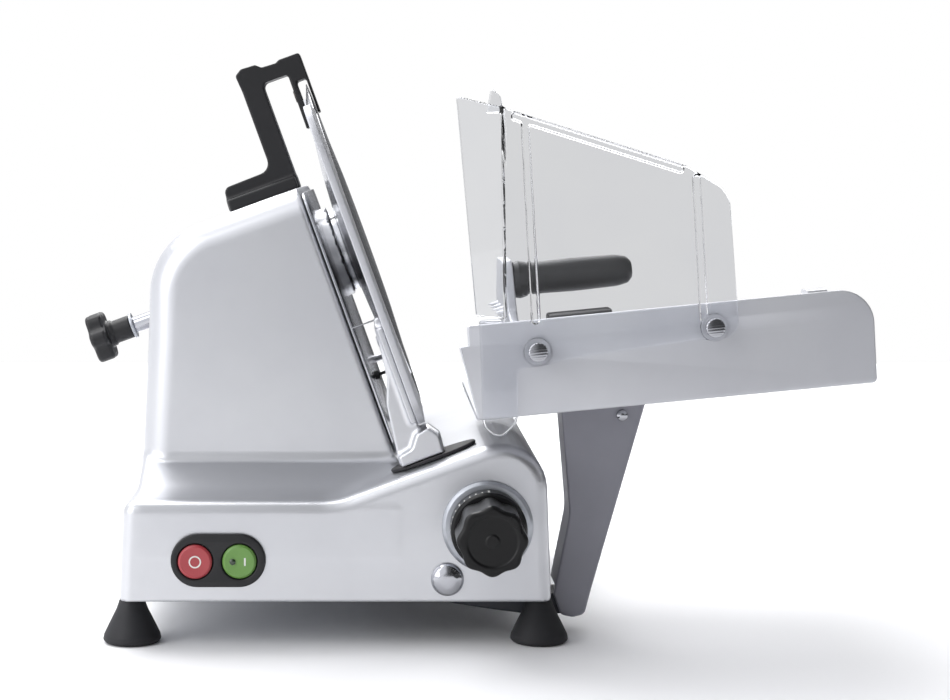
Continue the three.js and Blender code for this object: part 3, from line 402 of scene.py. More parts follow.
def skin(body: Field, low: Corner, high: Corner, step: float) -> Solid:
    """Mesh over a field's surface, its points carried onto the surface itself.

    Args:
        body: The field, negative inside.
        low: Lowest corner of the space it lies in.
        high: Highest corner.
        step: Size of the mesh's faces.

    Returns:
        The closed solid with its normals.
    """
    lines = [np.arange(a - 1.5 * step, b + 2 * step, step) for a, b in zip(low, high)]
    x, y, z = lines[0][:, None, None], lines[1][None, :, None], lines[2][None, None, :]
    shape = tuple(len(line) for line in lines)
    value = np.broadcast_to(body(x, y, z), shape).astype(np.float32)
    inside = value < 0
    spots = [(i, j, k) for i in (0, 1) for j in (0, 1) for k in (0, 1)]
    count = np.zeros(tuple(n - 1 for n in shape), np.int8)
    for i, j, k in spots:
        count += inside[i:shape[0] - 1 + i, j:shape[1] - 1 + j, k:shape[2] - 1 + k]
    mixed = (count > 0) & (count < 8)
    index = np.full(mixed.shape, -1, np.int64)
    cells = np.argwhere(mixed)
    index[mixed] = np.arange(len(cells))
    total, hits = np.zeros((len(cells), 3)), np.zeros(len(cells))
    for axis in range(3):
        ahead = np.eye(3, dtype=int)[axis]
        for spot in spots:
            if spot[axis]:
                continue
            a, b = cells + spot, cells + spot + ahead
            va, vb = value[tuple(a.T)], value[tuple(b.T)]
            cross = (va < 0) != (vb < 0)
            share = np.where(cross, va / np.where(cross, va - vb, 1), 0)
            total += np.where(cross[:, None], a + share[:, None] * ahead, 0)
            hits += cross
    points = np.array([line[0] for line in lines]) + step * total / hits[:, None]
    faces: list[Array] = []
    for axis in range(3):
        u, v = (axis + 1) % 3, (axis + 2) % 3
        here = np.take(inside, range(shape[axis] - 1), axis)
        there = np.take(inside, range(1, shape[axis]), axis)
        edges = np.argwhere(here != there)
        inner = (edges[:, u] > 0) & (edges[:, v] > 0)
        edges = edges[inner & (edges[:, u] < shape[u] - 1) & (edges[:, v] < shape[v] - 1)]
        du, dv = np.eye(3, dtype=int)[u], np.eye(3, dtype=int)[v]
        quad = np.stack([index[tuple((edges - shift).T)] for shift in (0 * du, du, du + dv, dv)], 1)
        flip = inside[tuple(edges.T)]
        quad[~flip] = quad[~flip][:, ::-1]
        faces.append(quad)
    points, normals = settled(body, points, step)
    return Solid(points, [tuple(q) for q in np.concatenate(faces).tolist()], normals)


def settled(body: Field, points: Array, step: float) -> tuple[Array, Array]:
    """Points carried onto a field's surface, and its normals there.

    Args:
        body: The field.
        points: Points near the surface.
        step: The most that a point may move.

    Returns:
        The moved points and the unit normals.
    """

    def slope(p: Array, reach: float) -> Array:
        """Slope of the field, over a short reach each way."""
        sides = []
        for axis in range(3):
            d = np.zeros(3)
            d[axis] = reach
            sides.append(body(*(p + d).T) - body(*(p - d).T))
        return np.stack(sides, 1).astype(float) / (2 * reach)

    for _ in range(2):
        g = slope(points, 0.05 * step)
        size = np.maximum(np.sum(g * g, 1), 0.2)
        move = np.clip(body(*points.T) / size, -step, step)
        points = points - move[:, None] * g
    g = slope(points, 0.25 * step)
    return points, g / np.maximum(np.linalg.norm(g, axis=1), 1e-6)[:, None]


# ---------------------------------------------------------------- finishes


class Slot(Enum):
    """The material slots of the record, and the white of the printed marks."""

    CAST = "cast_aluminium"
    ANODISED = "anodised_aluminium"
    STEEL = "stainless_steel"
    CHROME = "chrome"
    ZINC = "zinc_plate"
    GREY_PAINT = "grey_paint"
    MOTOR_PAINT = "motor_paint"
    BLACK = "black_plastic"
    GLOSS_BLACK = "gloss_black"
    RUBBER = "rubber"
    RED = "red_plastic"
    GREEN = "green_plastic"
    LENS = "lamp_lens"
    CLEAR = "clear_plastic"
    BOARD = "circuit_board"
    STONE = "abrasive"
    MARK = "white_marks"


def linear(tone: tuple[int, int, int]) -> tuple[float, float, float, float]:
    """Scene-linear colour of a tone told in 0 to 255."""
    parts = [c / 255 for c in tone]
    return (*(c / 12.92 if c <= 0.04045 else ((c + 0.055) / 1.055) ** 2.4 for c in parts), 1.0)


def new_group(name: str, inputs: dict[str, tuple[str, float]], outputs: dict[str, str]) -> bpy.types.NodeTree:
    """Empty shader node group with its sockets.

    Args:
        name: Name of the group.
        inputs: Socket kind and starting value of each input.
        outputs: Socket kind of each output.

    Returns:
        The group, with its two end nodes in it.
    """
    tree = bpy.data.node_groups.new(name, "ShaderNodeTree")
    for label, (kind, value) in inputs.items():
        made = tree.interface.new_socket(name=label, in_out="INPUT", socket_type=kind)
        if kind == "NodeSocketFloat":
            made.default_value = value
    for label, kind in outputs.items():
        tree.interface.new_socket(name=label, in_out="OUTPUT", socket_type=kind)
    tree.nodes.new("NodeGroupInput")
    tree.nodes.new("NodeGroupOutput")
    return tree


@dataclass
class Effects:
    """The node groups that the finishes share, each built once."""

    made: dict[str, bpy.types.NodeTree] = field(default_factory=dict)

    def get(self, name: str) -> bpy.types.NodeTree:
        """A group by its name, built at its first use."""
        if name not in self.made:
            self.made[name] = {"patches": self.patches, "grain": self.grain,
                               "edge_wear": self.edge_wear, "dust": self.dust}[name]()
        return self.made[name]

    def patches(self) -> bpy.types.NodeTree:
        """Broad cloudy change of tone, 0 to 1.

        Returns:
            The group: Vector and Scale in, Mask out.
        """
        tree = new_group("patches", {"Vector": ("NodeSocketVector", 0), "Scale": ("NodeSocketFloat", 20)},
                         {"Mask": "NodeSocketFloat"})
        start, end = tree.nodes[0], tree.nodes[1]
        noise = tree.nodes.new("ShaderNodeTexNoise")
        noise.inputs["Detail"].default_value = 4
        noise.inputs["Roughness"].default_value = 0.55
        spread = tree.nodes.new("ShaderNodeMapRange")
        spread.inputs["From Min"].default_value = 0.32
        spread.inputs["From Max"].default_value = 0.68
        tree.links.new(start.outputs["Vector"], noise.inputs["Vector"])
        tree.links.new(start.outputs["Scale"], noise.inputs["Scale"])
        tree.links.new(noise.outputs["Fac"], spread.inputs["Value"])
        tree.links.new(spread.outputs["Result"], end.inputs["Mask"])
        return tree

    def grain(self) -> bpy.types.NodeTree:
        """Fine grain of a surface: soft noise with small pits in it.

        Returns:
            The group: Vector, Scale and Pits in, Height out.
        """
        tree = new_group("grain", {"Vector": ("NodeSocketVector", 0), "Scale": ("NodeSocketFloat", 900),
                                   "Pits": ("NodeSocketFloat", 0.3)}, {"Height": "NodeSocketFloat"})
        start, end = tree.nodes[0], tree.nodes[1]
        noise = tree.nodes.new("ShaderNodeTexNoise")
        noise.inputs["Detail"].default_value = 3
        cells = tree.nodes.new("ShaderNodeTexVoronoi")
        cells.feature = "SMOOTH_F1"
        for node in (noise, cells):
            tree.links.new(start.outputs["Vector"], node.inputs["Vector"])
            tree.links.new(start.outputs["Scale"], node.inputs["Scale"])
        mixed = tree.nodes.new("ShaderNodeMix")
        tree.links.new(start.outputs["Pits"], mixed.inputs["Factor"])
        tree.links.new(noise.outputs["Fac"], mixed.inputs["A"])
        tree.links.new(cells.outputs["Distance"], mixed.inputs["B"])
        tree.links.new(mixed.outputs["Result"], end.inputs["Height"])
        return tree

    def edge_wear(self) -> bpy.types.NodeTree:
        """Rubbed edges: where the surface is sharpest, broken up by noise.

        Returns:
            The group: Vector and Amount in, Mask out.
        """
        tree = new_group("edge_wear", {"Vector": ("NodeSocketVector", 0), "Amount": ("NodeSocketFloat", 0.5)},
                         {"Mask": "NodeSocketFloat"})
        start, end = tree.nodes[0], tree.nodes[1]
        shape = tree.nodes.new("ShaderNodeNewGeometry")
        edge = tree.nodes.new("ShaderNodeMapRange")
        edge.inputs["From Min"].default_value = 0.53
        edge.inputs["From Max"].default_value = 0.62
        noise = tree.nodes.new("ShaderNodeTexNoise")
        noise.inputs["Scale"].default_value = 260
        worn = tree.nodes.new("ShaderNodeMath")
        worn.operation = "MULTIPLY"
        scaled = tree.nodes.new("ShaderNodeMath")
        scaled.operation = "MULTIPLY"
        scaled.use_clamp = True
        tree.links.new(start.outputs["Vector"], noise.inputs["Vector"])
        tree.links.new(shape.outputs["Pointiness"], edge.inputs["Value"])
        tree.links.new(edge.outputs["Result"], worn.inputs[0])
        tree.links.new(noise.outputs["Fac"], worn.inputs[1])
        tree.links.new(worn.outputs["Value"], scaled.inputs[0])
        tree.links.new(start.outputs["Amount"], scaled.inputs[1])
        tree.links.new(scaled.outputs["Value"], end.inputs["Mask"])
        return tree

    def dust(self) -> bpy.types.NodeTree:
        """Thin dust on faces that look up.

        Returns:
            The group: Vector and Amount in, Mask out.
        """
        tree = new_group("dust", {"Vector": ("NodeSocketVector", 0), "Amount": ("NodeSocketFloat", 0.1)},
                         {"Mask": "NodeSocketFloat"})
        start, end = tree.nodes[0], tree.nodes[1]
        shape = tree.nodes.new("ShaderNodeNewGeometry")
        parts = tree.nodes.new("ShaderNodeSeparateXYZ")
        facing = tree.nodes.new("ShaderNodeMapRange")
        facing.inputs["From Min"].default_value = 0.5
        noise = tree.nodes.new("ShaderNodeTexNoise")
        noise.inputs["Scale"].default_value = 90
        noise.inputs["Detail"].default_value = 6
        laid = tree.nodes.new("ShaderNodeMath")
        laid.operation = "MULTIPLY"
        scaled = tree.nodes.new("ShaderNodeMath")
        scaled.operation = "MULTIPLY"
        tree.links.new(start.outputs["Vector"], noise.inputs["Vector"])
        tree.links.new(shape.outputs["Normal"], parts.inputs["Vector"])
        tree.links.new(parts.outputs["Z"], facing.inputs["Value"])
        tree.links.new(facing.outputs["Result"], laid.inputs[0])
        tree.links.new(noise.outputs["Fac"], laid.inputs[1])
        tree.links.new(laid.outputs["Value"], scaled.inputs[0])
        tree.links.new(start.outputs["Amount"], scaled.inputs[1])
        tree.links.new(scaled.outputs["Value"], end.inputs["Mask"])
        return tree


EFFECTS = Effects()


@dataclass(frozen=True)
class Finish:
    """One surface finish: two tones in cloudy patches, grain, rubbed edges and dust."""

    slot: Slot
    tone: tuple[int, int, int]
    shade: tuple[int, int, int]
    roughness: float
    metallic: float = 0.0
    patch_scale: float = 18.0
    gloss_change: float = 0.05
    grain_scale: float = 1400.0
    grain_depth: float = 0.02
    grain_strength: float = 0.25
    pits: float = 0.3
    stretch: tuple[float, float, float] = (1.0, 1.0, 1.0)
    worn: tuple[int, int, int] = (225, 225, 228)
    wear: float = 0.0
    dust: float = 0.0
    coat: float = 0.0
    shine: float = 0.5

    def material(self) -> bpy.types.Material:
        """The finish's material, built at its first use.

        Returns:
            The material.
        """
        found = bpy.data.materials.get(self.slot.value + "_finish")
        if found:
            return found
        made = bpy.data.materials.new(self.slot.value + "_finish")
        made.use_nodes = True
        tree = made.node_tree
        shader = tree.nodes["Principled BSDF"]
        shader.inputs["Metallic"].default_value = self.metallic
        shader.inputs["Coat Weight"].default_value = self.coat
        shader.inputs["Coat Roughness"].default_value = 0.12
        shader.inputs["Specular IOR Level"].default_value = self.shine
        place = tree.nodes.new("ShaderNodeTexCoord")
        drawn = tree.nodes.new("ShaderNodeMapping")
        drawn.inputs["Scale"].default_value = self.stretch
        tree.links.new(place.outputs["Object"], drawn.inputs["Vector"])
        patches = self.effect(tree, "patches", place.outputs["Object"], Scale=self.patch_scale)
        grain = self.effect(tree, "grain", drawn.outputs["Vector"], Scale=self.grain_scale, Pits=self.pits)
        colour = self.mixed(tree, patches.outputs["Mask"], linear(self.tone), linear(self.shade))
        if self.wear:
            edges = self.effect(tree, "edge_wear", place.outputs["Object"], Amount=self.wear)
            colour = self.mixed(tree, edges.outputs["Mask"], colour, linear(self.worn))
        if self.dust:
            dust = self.effect(tree, "dust", place.outputs["Object"], Amount=self.dust)
            colour = self.mixed(tree, dust.outputs["Mask"], colour, linear((176, 172, 166)))
        tree.links.new(colour, shader.inputs["Base Color"])
        gloss = tree.nodes.new("ShaderNodeMapRange")
        gloss.inputs["To Min"].default_value = max(self.roughness - self.gloss_change, 0.02)
        gloss.inputs["To Max"].default_value = min(self.roughness + self.gloss_change, 1)
        tree.links.new(patches.outputs["Mask"], gloss.inputs["Value"])
        tree.links.new(gloss.outputs["Result"], shader.inputs["Roughness"])
        bump = tree.nodes.new("ShaderNodeBump")
        bump.inputs["Strength"].default_value = self.grain_strength
        bump.inputs["Distance"].default_value = self.grain_depth * MM
        tree.links.new(grain.outputs["Height"], bump.inputs["Height"])
        tree.links.new(bump.outputs["Normal"], shader.inputs["Normal"])
        return made

    @staticmethod
    def effect(tree: bpy.types.NodeTree, name: str, vector: bpy.types.NodeSocket,
               **values: float) -> bpy.types.Node:
        """One shared effect placed in a material.

        Args:
            tree: The material's nodes.
            name: The effect.
            vector: Where its coordinates come from.
            **values: Its own values.

        Returns:
            The group node.
        """
        node = tree.nodes.new("ShaderNodeGroup")
        node.node_tree = EFFECTS.get(name)
        tree.links.new(vector, node.inputs["Vector"])
        for label, value in values.items():
            node.inputs[label].default_value = value
        return node

    @staticmethod
    def mixed(tree: bpy.types.NodeTree, mask: bpy.types.NodeSocket, first: object,
              second: tuple[float, float, float, float]) -> bpy.types.NodeSocket:
        """Colour that goes from the first to the second as the mask rises.

        Args:
            tree: The material's nodes.
            mask: The mask.
            first: A colour, or the socket that gives one.
            second: The other colour.

        Returns:
            The mixed colour's socket.
        """
        node = tree.nodes.new("ShaderNodeMix")
        node.data_type = "RGBA"
        tree.links.new(mask, node.inputs["Factor"])
        if isinstance(first, tuple):
            node.inputs["A"].default_value = first
        else:
            tree.links.new(first, node.inputs["A"])
        node.inputs["B"].default_value = second
        return node.outputs["Result"]


@dataclass(frozen=True)
class ClearFinish(Finish):
    """Clear moulded plastic, which lets light through to what stands behind it."""

    refraction: float = 1.49

    def material(self) -> bpy.types.Material:
        """The clear finish, whose shadow stays light.

        Returns:
            The material.
        """
        known = bpy.data.materials.get(self.slot.value + "_finish")
        made = super().material()
        if known:
            return made
        tree = made.node_tree
        shader = tree.nodes["Principled BSDF"]
        shader.inputs["Transmission Weight"].default_value = 1.0
        shader.inputs["IOR"].default_value = self.refraction
        rays = tree.nodes.new("ShaderNodeLightPath")
        through = tree.nodes.new("ShaderNodeBsdfTransparent")
        through.inputs["Color"].default_value = (0.86, 0.87, 0.89, 1)
        chosen = tree.nodes.new("ShaderNodeMixShader")
        end = tree.nodes["Material Output"]
        tree.links.new(rays.outputs["Is Shadow Ray"], chosen.inputs["Fac"])
        tree.links.new(shader.outputs["BSDF"], chosen.inputs[1])
        tree.links.new(through.outputs["BSDF"], chosen.inputs[2])
        tree.links.new(chosen.outputs["Shader"], end.inputs["Surface"])
        return made


FINISHES = {f.slot: f for f in (
    Finish(Slot.CAST, (204, 205, 208), (196, 197, 201), 0.33, 0.94, patch_scale=9, gloss_change=0.03,
           grain_scale=1500, grain_strength=0.3, stretch=(1, 1, 0.18)),
    Finish(Slot.ANODISED, (194, 195, 199), (187, 188, 193), 0.44, 0.5, patch_scale=14, gloss_change=0.03,
           grain_scale=1700, stretch=(0.15, 1, 1)),
    Finish(Slot.STEEL, (205, 206, 210), (196, 197, 201), 0.22, 1.0, gloss_change=0.04, grain_scale=1600,
           stretch=(1, 1, 0.12)),
    Finish(Slot.CHROME, (178, 179, 184), (170, 171, 176), 0.12, 1.0, gloss_change=0.02, grain_scale=1500,
           grain_strength=0.08),
    Finish(Slot.ZINC, (178, 181, 186), (160, 163, 170), 0.34, 0.95, patch_scale=60, gloss_change=0.06),
    Finish(Slot.GREY_PAINT, (136, 136, 144), (129, 129, 137), 0.46, 0.15, patch_scale=12, grain_scale=700,
           grain_depth=0.05, pits=0.6, worn=(170, 170, 175), wear=0.25),
    Finish(Slot.MOTOR_PAINT, (66, 68, 74), (58, 60, 66), 0.5, 0.2, grain_scale=600, grain_depth=0.05,
           dust=0.2),
    Finish(Slot.BLACK, (32, 32, 34), (27, 27, 29), 0.42, shine=0.35, patch_scale=26, gloss_change=0.05,
           grain_scale=1300, grain_depth=0.03, pits=0.6, worn=(88, 88, 92), wear=0.3),
    Finish(Slot.GLOSS_BLACK, (17, 17, 18), (14, 14, 15), 0.3, gloss_change=0.05, grain_scale=1500,
           grain_depth=0.015, worn=(62, 62, 66), wear=0.15, shine=0.25),
    Finish(Slot.RUBBER, (40, 40, 43), (33, 33, 36), 0.62, shine=0.35, gloss_change=0.07, grain_scale=900,
           grain_depth=0.06, pits=0.5, worn=(84, 84, 88), wear=0.3, dust=0.15),
    Finish(Slot.RED, (164, 58, 64), (154, 52, 58), 0.36, patch_scale=50, grain_scale=1500,
           worn=(214, 130, 134), wear=0.35, coat=0.15),
    Finish(Slot.GREEN, (98, 140, 66), (90, 132, 60), 0.36, patch_scale=50, grain_scale=1500,
           worn=(176, 206, 150), wear=0.35, coat=0.15),
    Finish(Slot.LENS, (30, 52, 24), (24, 44, 20), 0.12, grain_strength=0.05, coat=0.6),
    ClearFinish(Slot.CLEAR, (249, 250, 252), (246, 247, 250), 0.03, gloss_change=0.01, grain_scale=60,
                grain_depth=0.04, grain_strength=0.2, pits=0.0),
    Finish(Slot.BOARD, (40, 100, 62), (34, 88, 54), 0.5, grain_scale=1200),
    Finish(Slot.STONE, (150, 140, 132), (126, 118, 112), 0.92, patch_scale=240, gloss_change=0.03,
           grain_scale=2600, grain_depth=0.2, grain_strength=0.8, pits=0.7),
    Finish(Slot.MARK, (222, 222, 218), (206, 206, 202), 0.45, grain_scale=1500),
)}


# ---------------------------------------------------------------- pieces


def piece(name: str, solid: Solid, axes: Matrix, slot: Slot, body: str, nodes: Iterable[str] = (),
          smooth: float = 32.0, paint: Slot | None = None) -> bpy.types.Object:
    """Lays a solid in the frame as one piece, with its finish, on its body.

    Args:
        name: Name of the piece.
        solid: Its mesh in millimetres.
        axes: Matrix of the axes that the mesh is told in.
        slot: Its finish.
        body: The body it moves with.
        nodes: The CAD nodes it stands for.
        smooth: Edges sharper than this angle in degrees stay sharp.
        paint: What it is painted with, where that isn't its slot's finish.

    Returns:
        The piece.
    """
    data = bpy.data.meshes.new(name)
    laid = solid.laid(axes)
    if solid.normals is not None:
        data.from_pydata(laid.points.tolist(), [], laid.faces)
        data.polygons.foreach_set("use_smooth", [True] * len(data.polygons))
        turn = np.array(axes.to_3x3().normalized())
        data.normals_split_custom_set_from_vertices((solid.normals @ turn.T).tolist())
    else:
        work = bmesh.new()
        corners = [work.verts.new(p) for p in laid.points]
        for face in laid.faces:
            work.faces.new([corners[i] for i in face])
        bmesh.ops.remove_doubles(work, verts=work.verts, dist=1e-3 * MM)
        bmesh.ops.dissolve_degenerate(work, edges=work.edges, dist=1e-4 * MM)
        bmesh.ops.recalc_face_normals(work, faces=work.faces)
        work.to_mesh(data)
        work.free()
        data.polygons.foreach_set("use_smooth", [True] * len(data.polygons))
        data.set_sharp_from_angle(angle=math.radians(smooth))
    data.update()
    made = bpy.data.objects.new(name, data)
    bpy.context.scene.collection.objects.link(made)
    data.materials.append(FINISHES[paint or slot].material())
    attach(made, body)
    if nodes:
        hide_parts(*nodes)
    LOG.info("%s: %d faces on %s", name, len(data.polygons), body)
    return made


class Assembly:
    """A sub-assembly that builds its own pieces."""

    def build(self) -> None:
        """Builds every piece of the sub-assembly."""
        raise NotImplementedError


# ---------------------------------------------------------------- casting


def in_blade(x: Array, z: Array) -> tuple[Array, Array]:
    """Body X and Z told in the blade axes.

    Args:
        x: Body X.
        z: Body Z.

    Returns:
        Blade X, along the axle, and blade Z, up along the blade.
    """
    c, s = math.cos(BLADE_TILT), math.sin(BLADE_TILT)
    dx, dz = x - BLADE_CENTRE[0], z - BLADE_CENTRE[2]
    return c * dx + s * dz, c * dz - s * dx


@dataclass
class Casting(Assembly):
    """Base, apron and motor tower, cast in one and open below."""

    half_width: float = 140.0
    half_depth: float = 170.0
    rim: float = 30.0
    top: float = 95.0
    knee_top: float = 108.5
    wall: float = 5.0
    base_edge: float = 8.0
    tower_edge: float = 19.0
    tower_front: float = -112.0
    tower_back: float = 152.0
    blade_face: float = -27.5
    foot: tuple[float, float] = (133.5, 148.0)
    step: float = 2.2
    base_line: Outline = field(init=False)
    tower_line: Outline = field(init=False)
    apron_line: Outline = field(init=False)

    def __post_init__(self) -> None:
        """Draws the three outlines."""
        rise = math.tan(BLADE_TILT)
        shoulder, knee = 136.0, 37.0
        self.base_line = Outline.of(
            (-self.half_width, 0), (self.half_width, 0), (self.half_width, self.rim),
            (shoulder, self.knee_top + (shoulder - knee) * rise, 30),
            (knee + (self.top - self.knee_top) / rise, self.top, 60),
            (-self.half_width + 3, self.top, 8), (-self.half_width, self.rim), steps=10)
        drop = 54.5 / math.cos(BLADE_TILT)

        def roof(x: float) -> float:
            """Height of the tower's roof over a body X."""
            return BLADE_CENTRE[2] + drop + (x - BLADE_CENTRE[0]) * rise

        self.tower_line = Outline.of((-133, 60), (60, 60), (60, roof(60)), (-126, roof(-126), 53),
                                     (-128, 190, 80), (-133, 95), steps=12)
        self.apron_line = Outline.of((-166, 60), (-60, 60), (-60, 116), (-108, 116, 12), (-166, 90), steps=8)

    def outside(self, x: Array, y: Array, z: Array) -> Array:
        """Outer form of the casting before it is hollowed."""
        base = pushed(self.base_line.distance(x, z), y, -self.half_depth, self.half_depth, self.base_edge)
        apron = pushed(self.apron_line.distance(y, z), x, -131, 45, 6)
        along, _ = in_blade(x, z)
        tower = pushed(self.tower_line.distance(x, z), y, self.tower_front, self.tower_back, self.tower_edge)
        tower = common(tower, along - self.blade_face, 2.5)
        return union(union(base, apron, 6), tower, 5)

    def body(self, x: Array, y: Array, z: Array) -> Array:
        """Field of the whole casting."""
        outer = self.outside(x, y, z)
        shell = without(outer, outer + self.wall, 0.5)
        along, up = in_blade(x, z)
        for side_x in (-1, 1):
            for side_y in (-1, 1):
                post = bar(z, x - side_x * self.foot[0], y - side_y * self.foot[1], 9, self.rim, 62)
                shell = union(shell, np.maximum(post, outer), 3)
        y0, z0 = y - BLADE_CENTRE[1], up
        shell = union(shell, np.maximum(bar(along, y0, z0, 30, -58, self.blade_face), outer), 3)
        shell = union(shell, bar(along, y0, z0, 34, self.blade_face - 2, -18.3, 0.6), 2)
        motor = block(along, y0, z0, (-83.7, -135, -68), (-79.7, -55, 52.5), 0.6)
        shell = union(shell, np.maximum(motor, outer), 2)
        for hole in self.holes(x, y, z, along, up):
            shell = without(shell, hole, 1.0)
        return common(shell, self.rim - z, 1.6)

    def holes(self, x: Array, y: Array, z: Array, along: Array, up: Array) -> list[Array]:
        """Fields of the holes for the switch, shafts, rods, gland and gauge slot."""
        y0 = y - BLADE_CENTRE[1]
        switch = Outline.obround(-75.2, 57.5, 54, 26).distance(x, z)
        stem = block(along, y0, up, (-22.5, -189.5, -156), (5.5, -172.5, -130), 2)
        return [
            np.maximum(switch, np.abs(y + 165) - 15),
            bar(y, x - 98.4, z - 79.5, 6.3, -180, -150),
            bar(y, x - 72.5, z - 45, 8.3, -180, 180),
            bar(y, x + 95, z - 58, 8.3, 150, 180),
            bar(along, y0, up, 23.5, -59, 0),
            bar(along, y0, up, 6.3, -200, -120),
            bar(along, y0 + 95, up + 30, 7, -86, -76),
            stem,
        ]

    def build(self) -> None:
        """Builds the casting."""
        low = (-self.half_width, -self.half_depth, self.rim)
        high = (self.half_width, self.half_depth, 300)
        piece("casting", skin(self.body, low, high, self.step), BODY, Slot.CAST, "base", ["base_housing"])


# ---------------------------------------------------------------- feet, switch and dial


@dataclass
class Feet(Assembly):
    """Four rubber feet with their studs, and the closed gland at the back."""

    pad: float = 19.0
    rim: float = 29.7

    def build(self) -> None:
        """Builds the feet and the gland."""
        profile = [(0, 0), (0, self.pad - 1.6, 1.2), (1.8, self.pad, 1.6), (5, self.pad - 0.6, 3),
                   (13, 14.5, 14), (21, 10.5, 14), (self.rim - 1.5, 7.9, 2), (self.rim, 7.75, 0.4),
                   (self.rim, 3, 0.1), (self.rim + 13, 3), (self.rim + 13, 0)]
        for end in ("front", "rear"):
            for side in ("left", "right"):
                node = f"foot_{end}_{side}"
                low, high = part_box(node)
                here = BODY.inverted() @ ((low + high) / 2)
                shape = turned(profile, Axis.Z, (here.x, here.y), 0.4)
                piece(f"rubber_{node}", shape, BODY, Slot.RUBBER, "base", [node])
        gland = [(158.3, 0), (158.3, 8), (-FRONT, 8), (-FRONT, 11), (177, 11, 1.5), (180, 8, 1.2),
                 (180, 4, 0.4), (176, 2.5, 0.4), (176, 0)]
        piece("lead_gland", turned(gland, Axis.Y, (-95, 58)), BODY, Slot.BLACK, "base", ["cable_gland"])


@dataclass
class Switch(Assembly):
    """Switch plate with its STOP and START buttons."""

    middle: tuple[float, float] = (-75.2, 57.5)
    size: tuple[float, float] = (61.3, 34.3)
    face: float = FRONT
    thick: float = 3.2
    stop_x: float = -90.0
    start_x: float = -61.5
    button_z: float = 57.0
    button_r: float = 11.0

    def button(self, x: float, proud: float) -> Solid:
        """A push button with a slightly dished cap."""
        front = -170.0 - 3.5 - proud
        seat, end, stem_r = -170.5, -160.8, 3.5
        profile = [(front + 0.5, 0), (front + 0.42, self.button_r * 0.45, 4),
                   (front, self.button_r - 1.4, 0.5), (front + 1.3, self.button_r, 0.9),
                   (seat, self.button_r), (seat, stem_r), (end, stem_r), (end, 0)]
        return turned(profile, Axis.Y, (x, self.button_z), 0.3)

    def build(self) -> None:
        """Builds the plate, the buttons, their marks and the lamp's lens."""
        holes = [Outline.oval(x, self.button_z, self.button_r + 0.5, self.button_r + 0.5)
                 for x in (self.stop_x, self.start_x)]
        outline = Outline.obround(*self.middle, *self.size)
        plate = slab(outline, Axis.Y, self.face - self.thick, self.face, 1.1, holes)
        piece("switch_bezel", plate, BODY, Slot.BLACK, "base", ["switch_plate"])
        piece("stop_cap", self.button(self.stop_x, 1.6), BODY, Slot.RED, "stop_push", ["stop_button"])
        piece("start_cap", self.button(self.start_x, 0.8), BODY, Slot.GREEN, "start_push", ["start_button"])
        bar_x, dish = self.start_x + 3.6, -173.95
        half, rise, corner = 0.55, 2.6, 0.3
        low, high = self.button_z - rise, self.button_z + rise
        bar_line = Outline.of((bar_x - half, low, corner), (bar_x + half, low, corner),
                              (bar_x + half, high, corner), (bar_x - half, high, corner))
        on_mark = slab(bar_line, Axis.Y, dish, dish + 0.5, 0.04)
        piece("on_bar", on_mark, BODY, Slot.GREEN, "start_push", paint=Slot.MARK)
        off_mark = [(dish - 0.8, 3.1), (dish - 0.8, 4.0), (dish - 0.2, 4.0), (dish - 0.2, 3.1)]
        piece("off_ring", turned(off_mark, Axis.Y, (self.stop_x, self.button_z), 0.04, 64), BODY, Slot.RED,
              "stop_push", paint=Slot.MARK)
        lens_x = self.start_x - 4.3
        lens = [(-175.1, 0), (-174.9, 1.2, 0.8), (-174.5, 2, 0.3), (-172.8, 2), (-172.8, 0)]
        lamp = turned(lens, Axis.Y, (lens_x, self.button_z), 0.2, 40)
        piece("lamp_lens", lamp, BODY, Slot.LENS, "start_push", ["pilot_lens"])


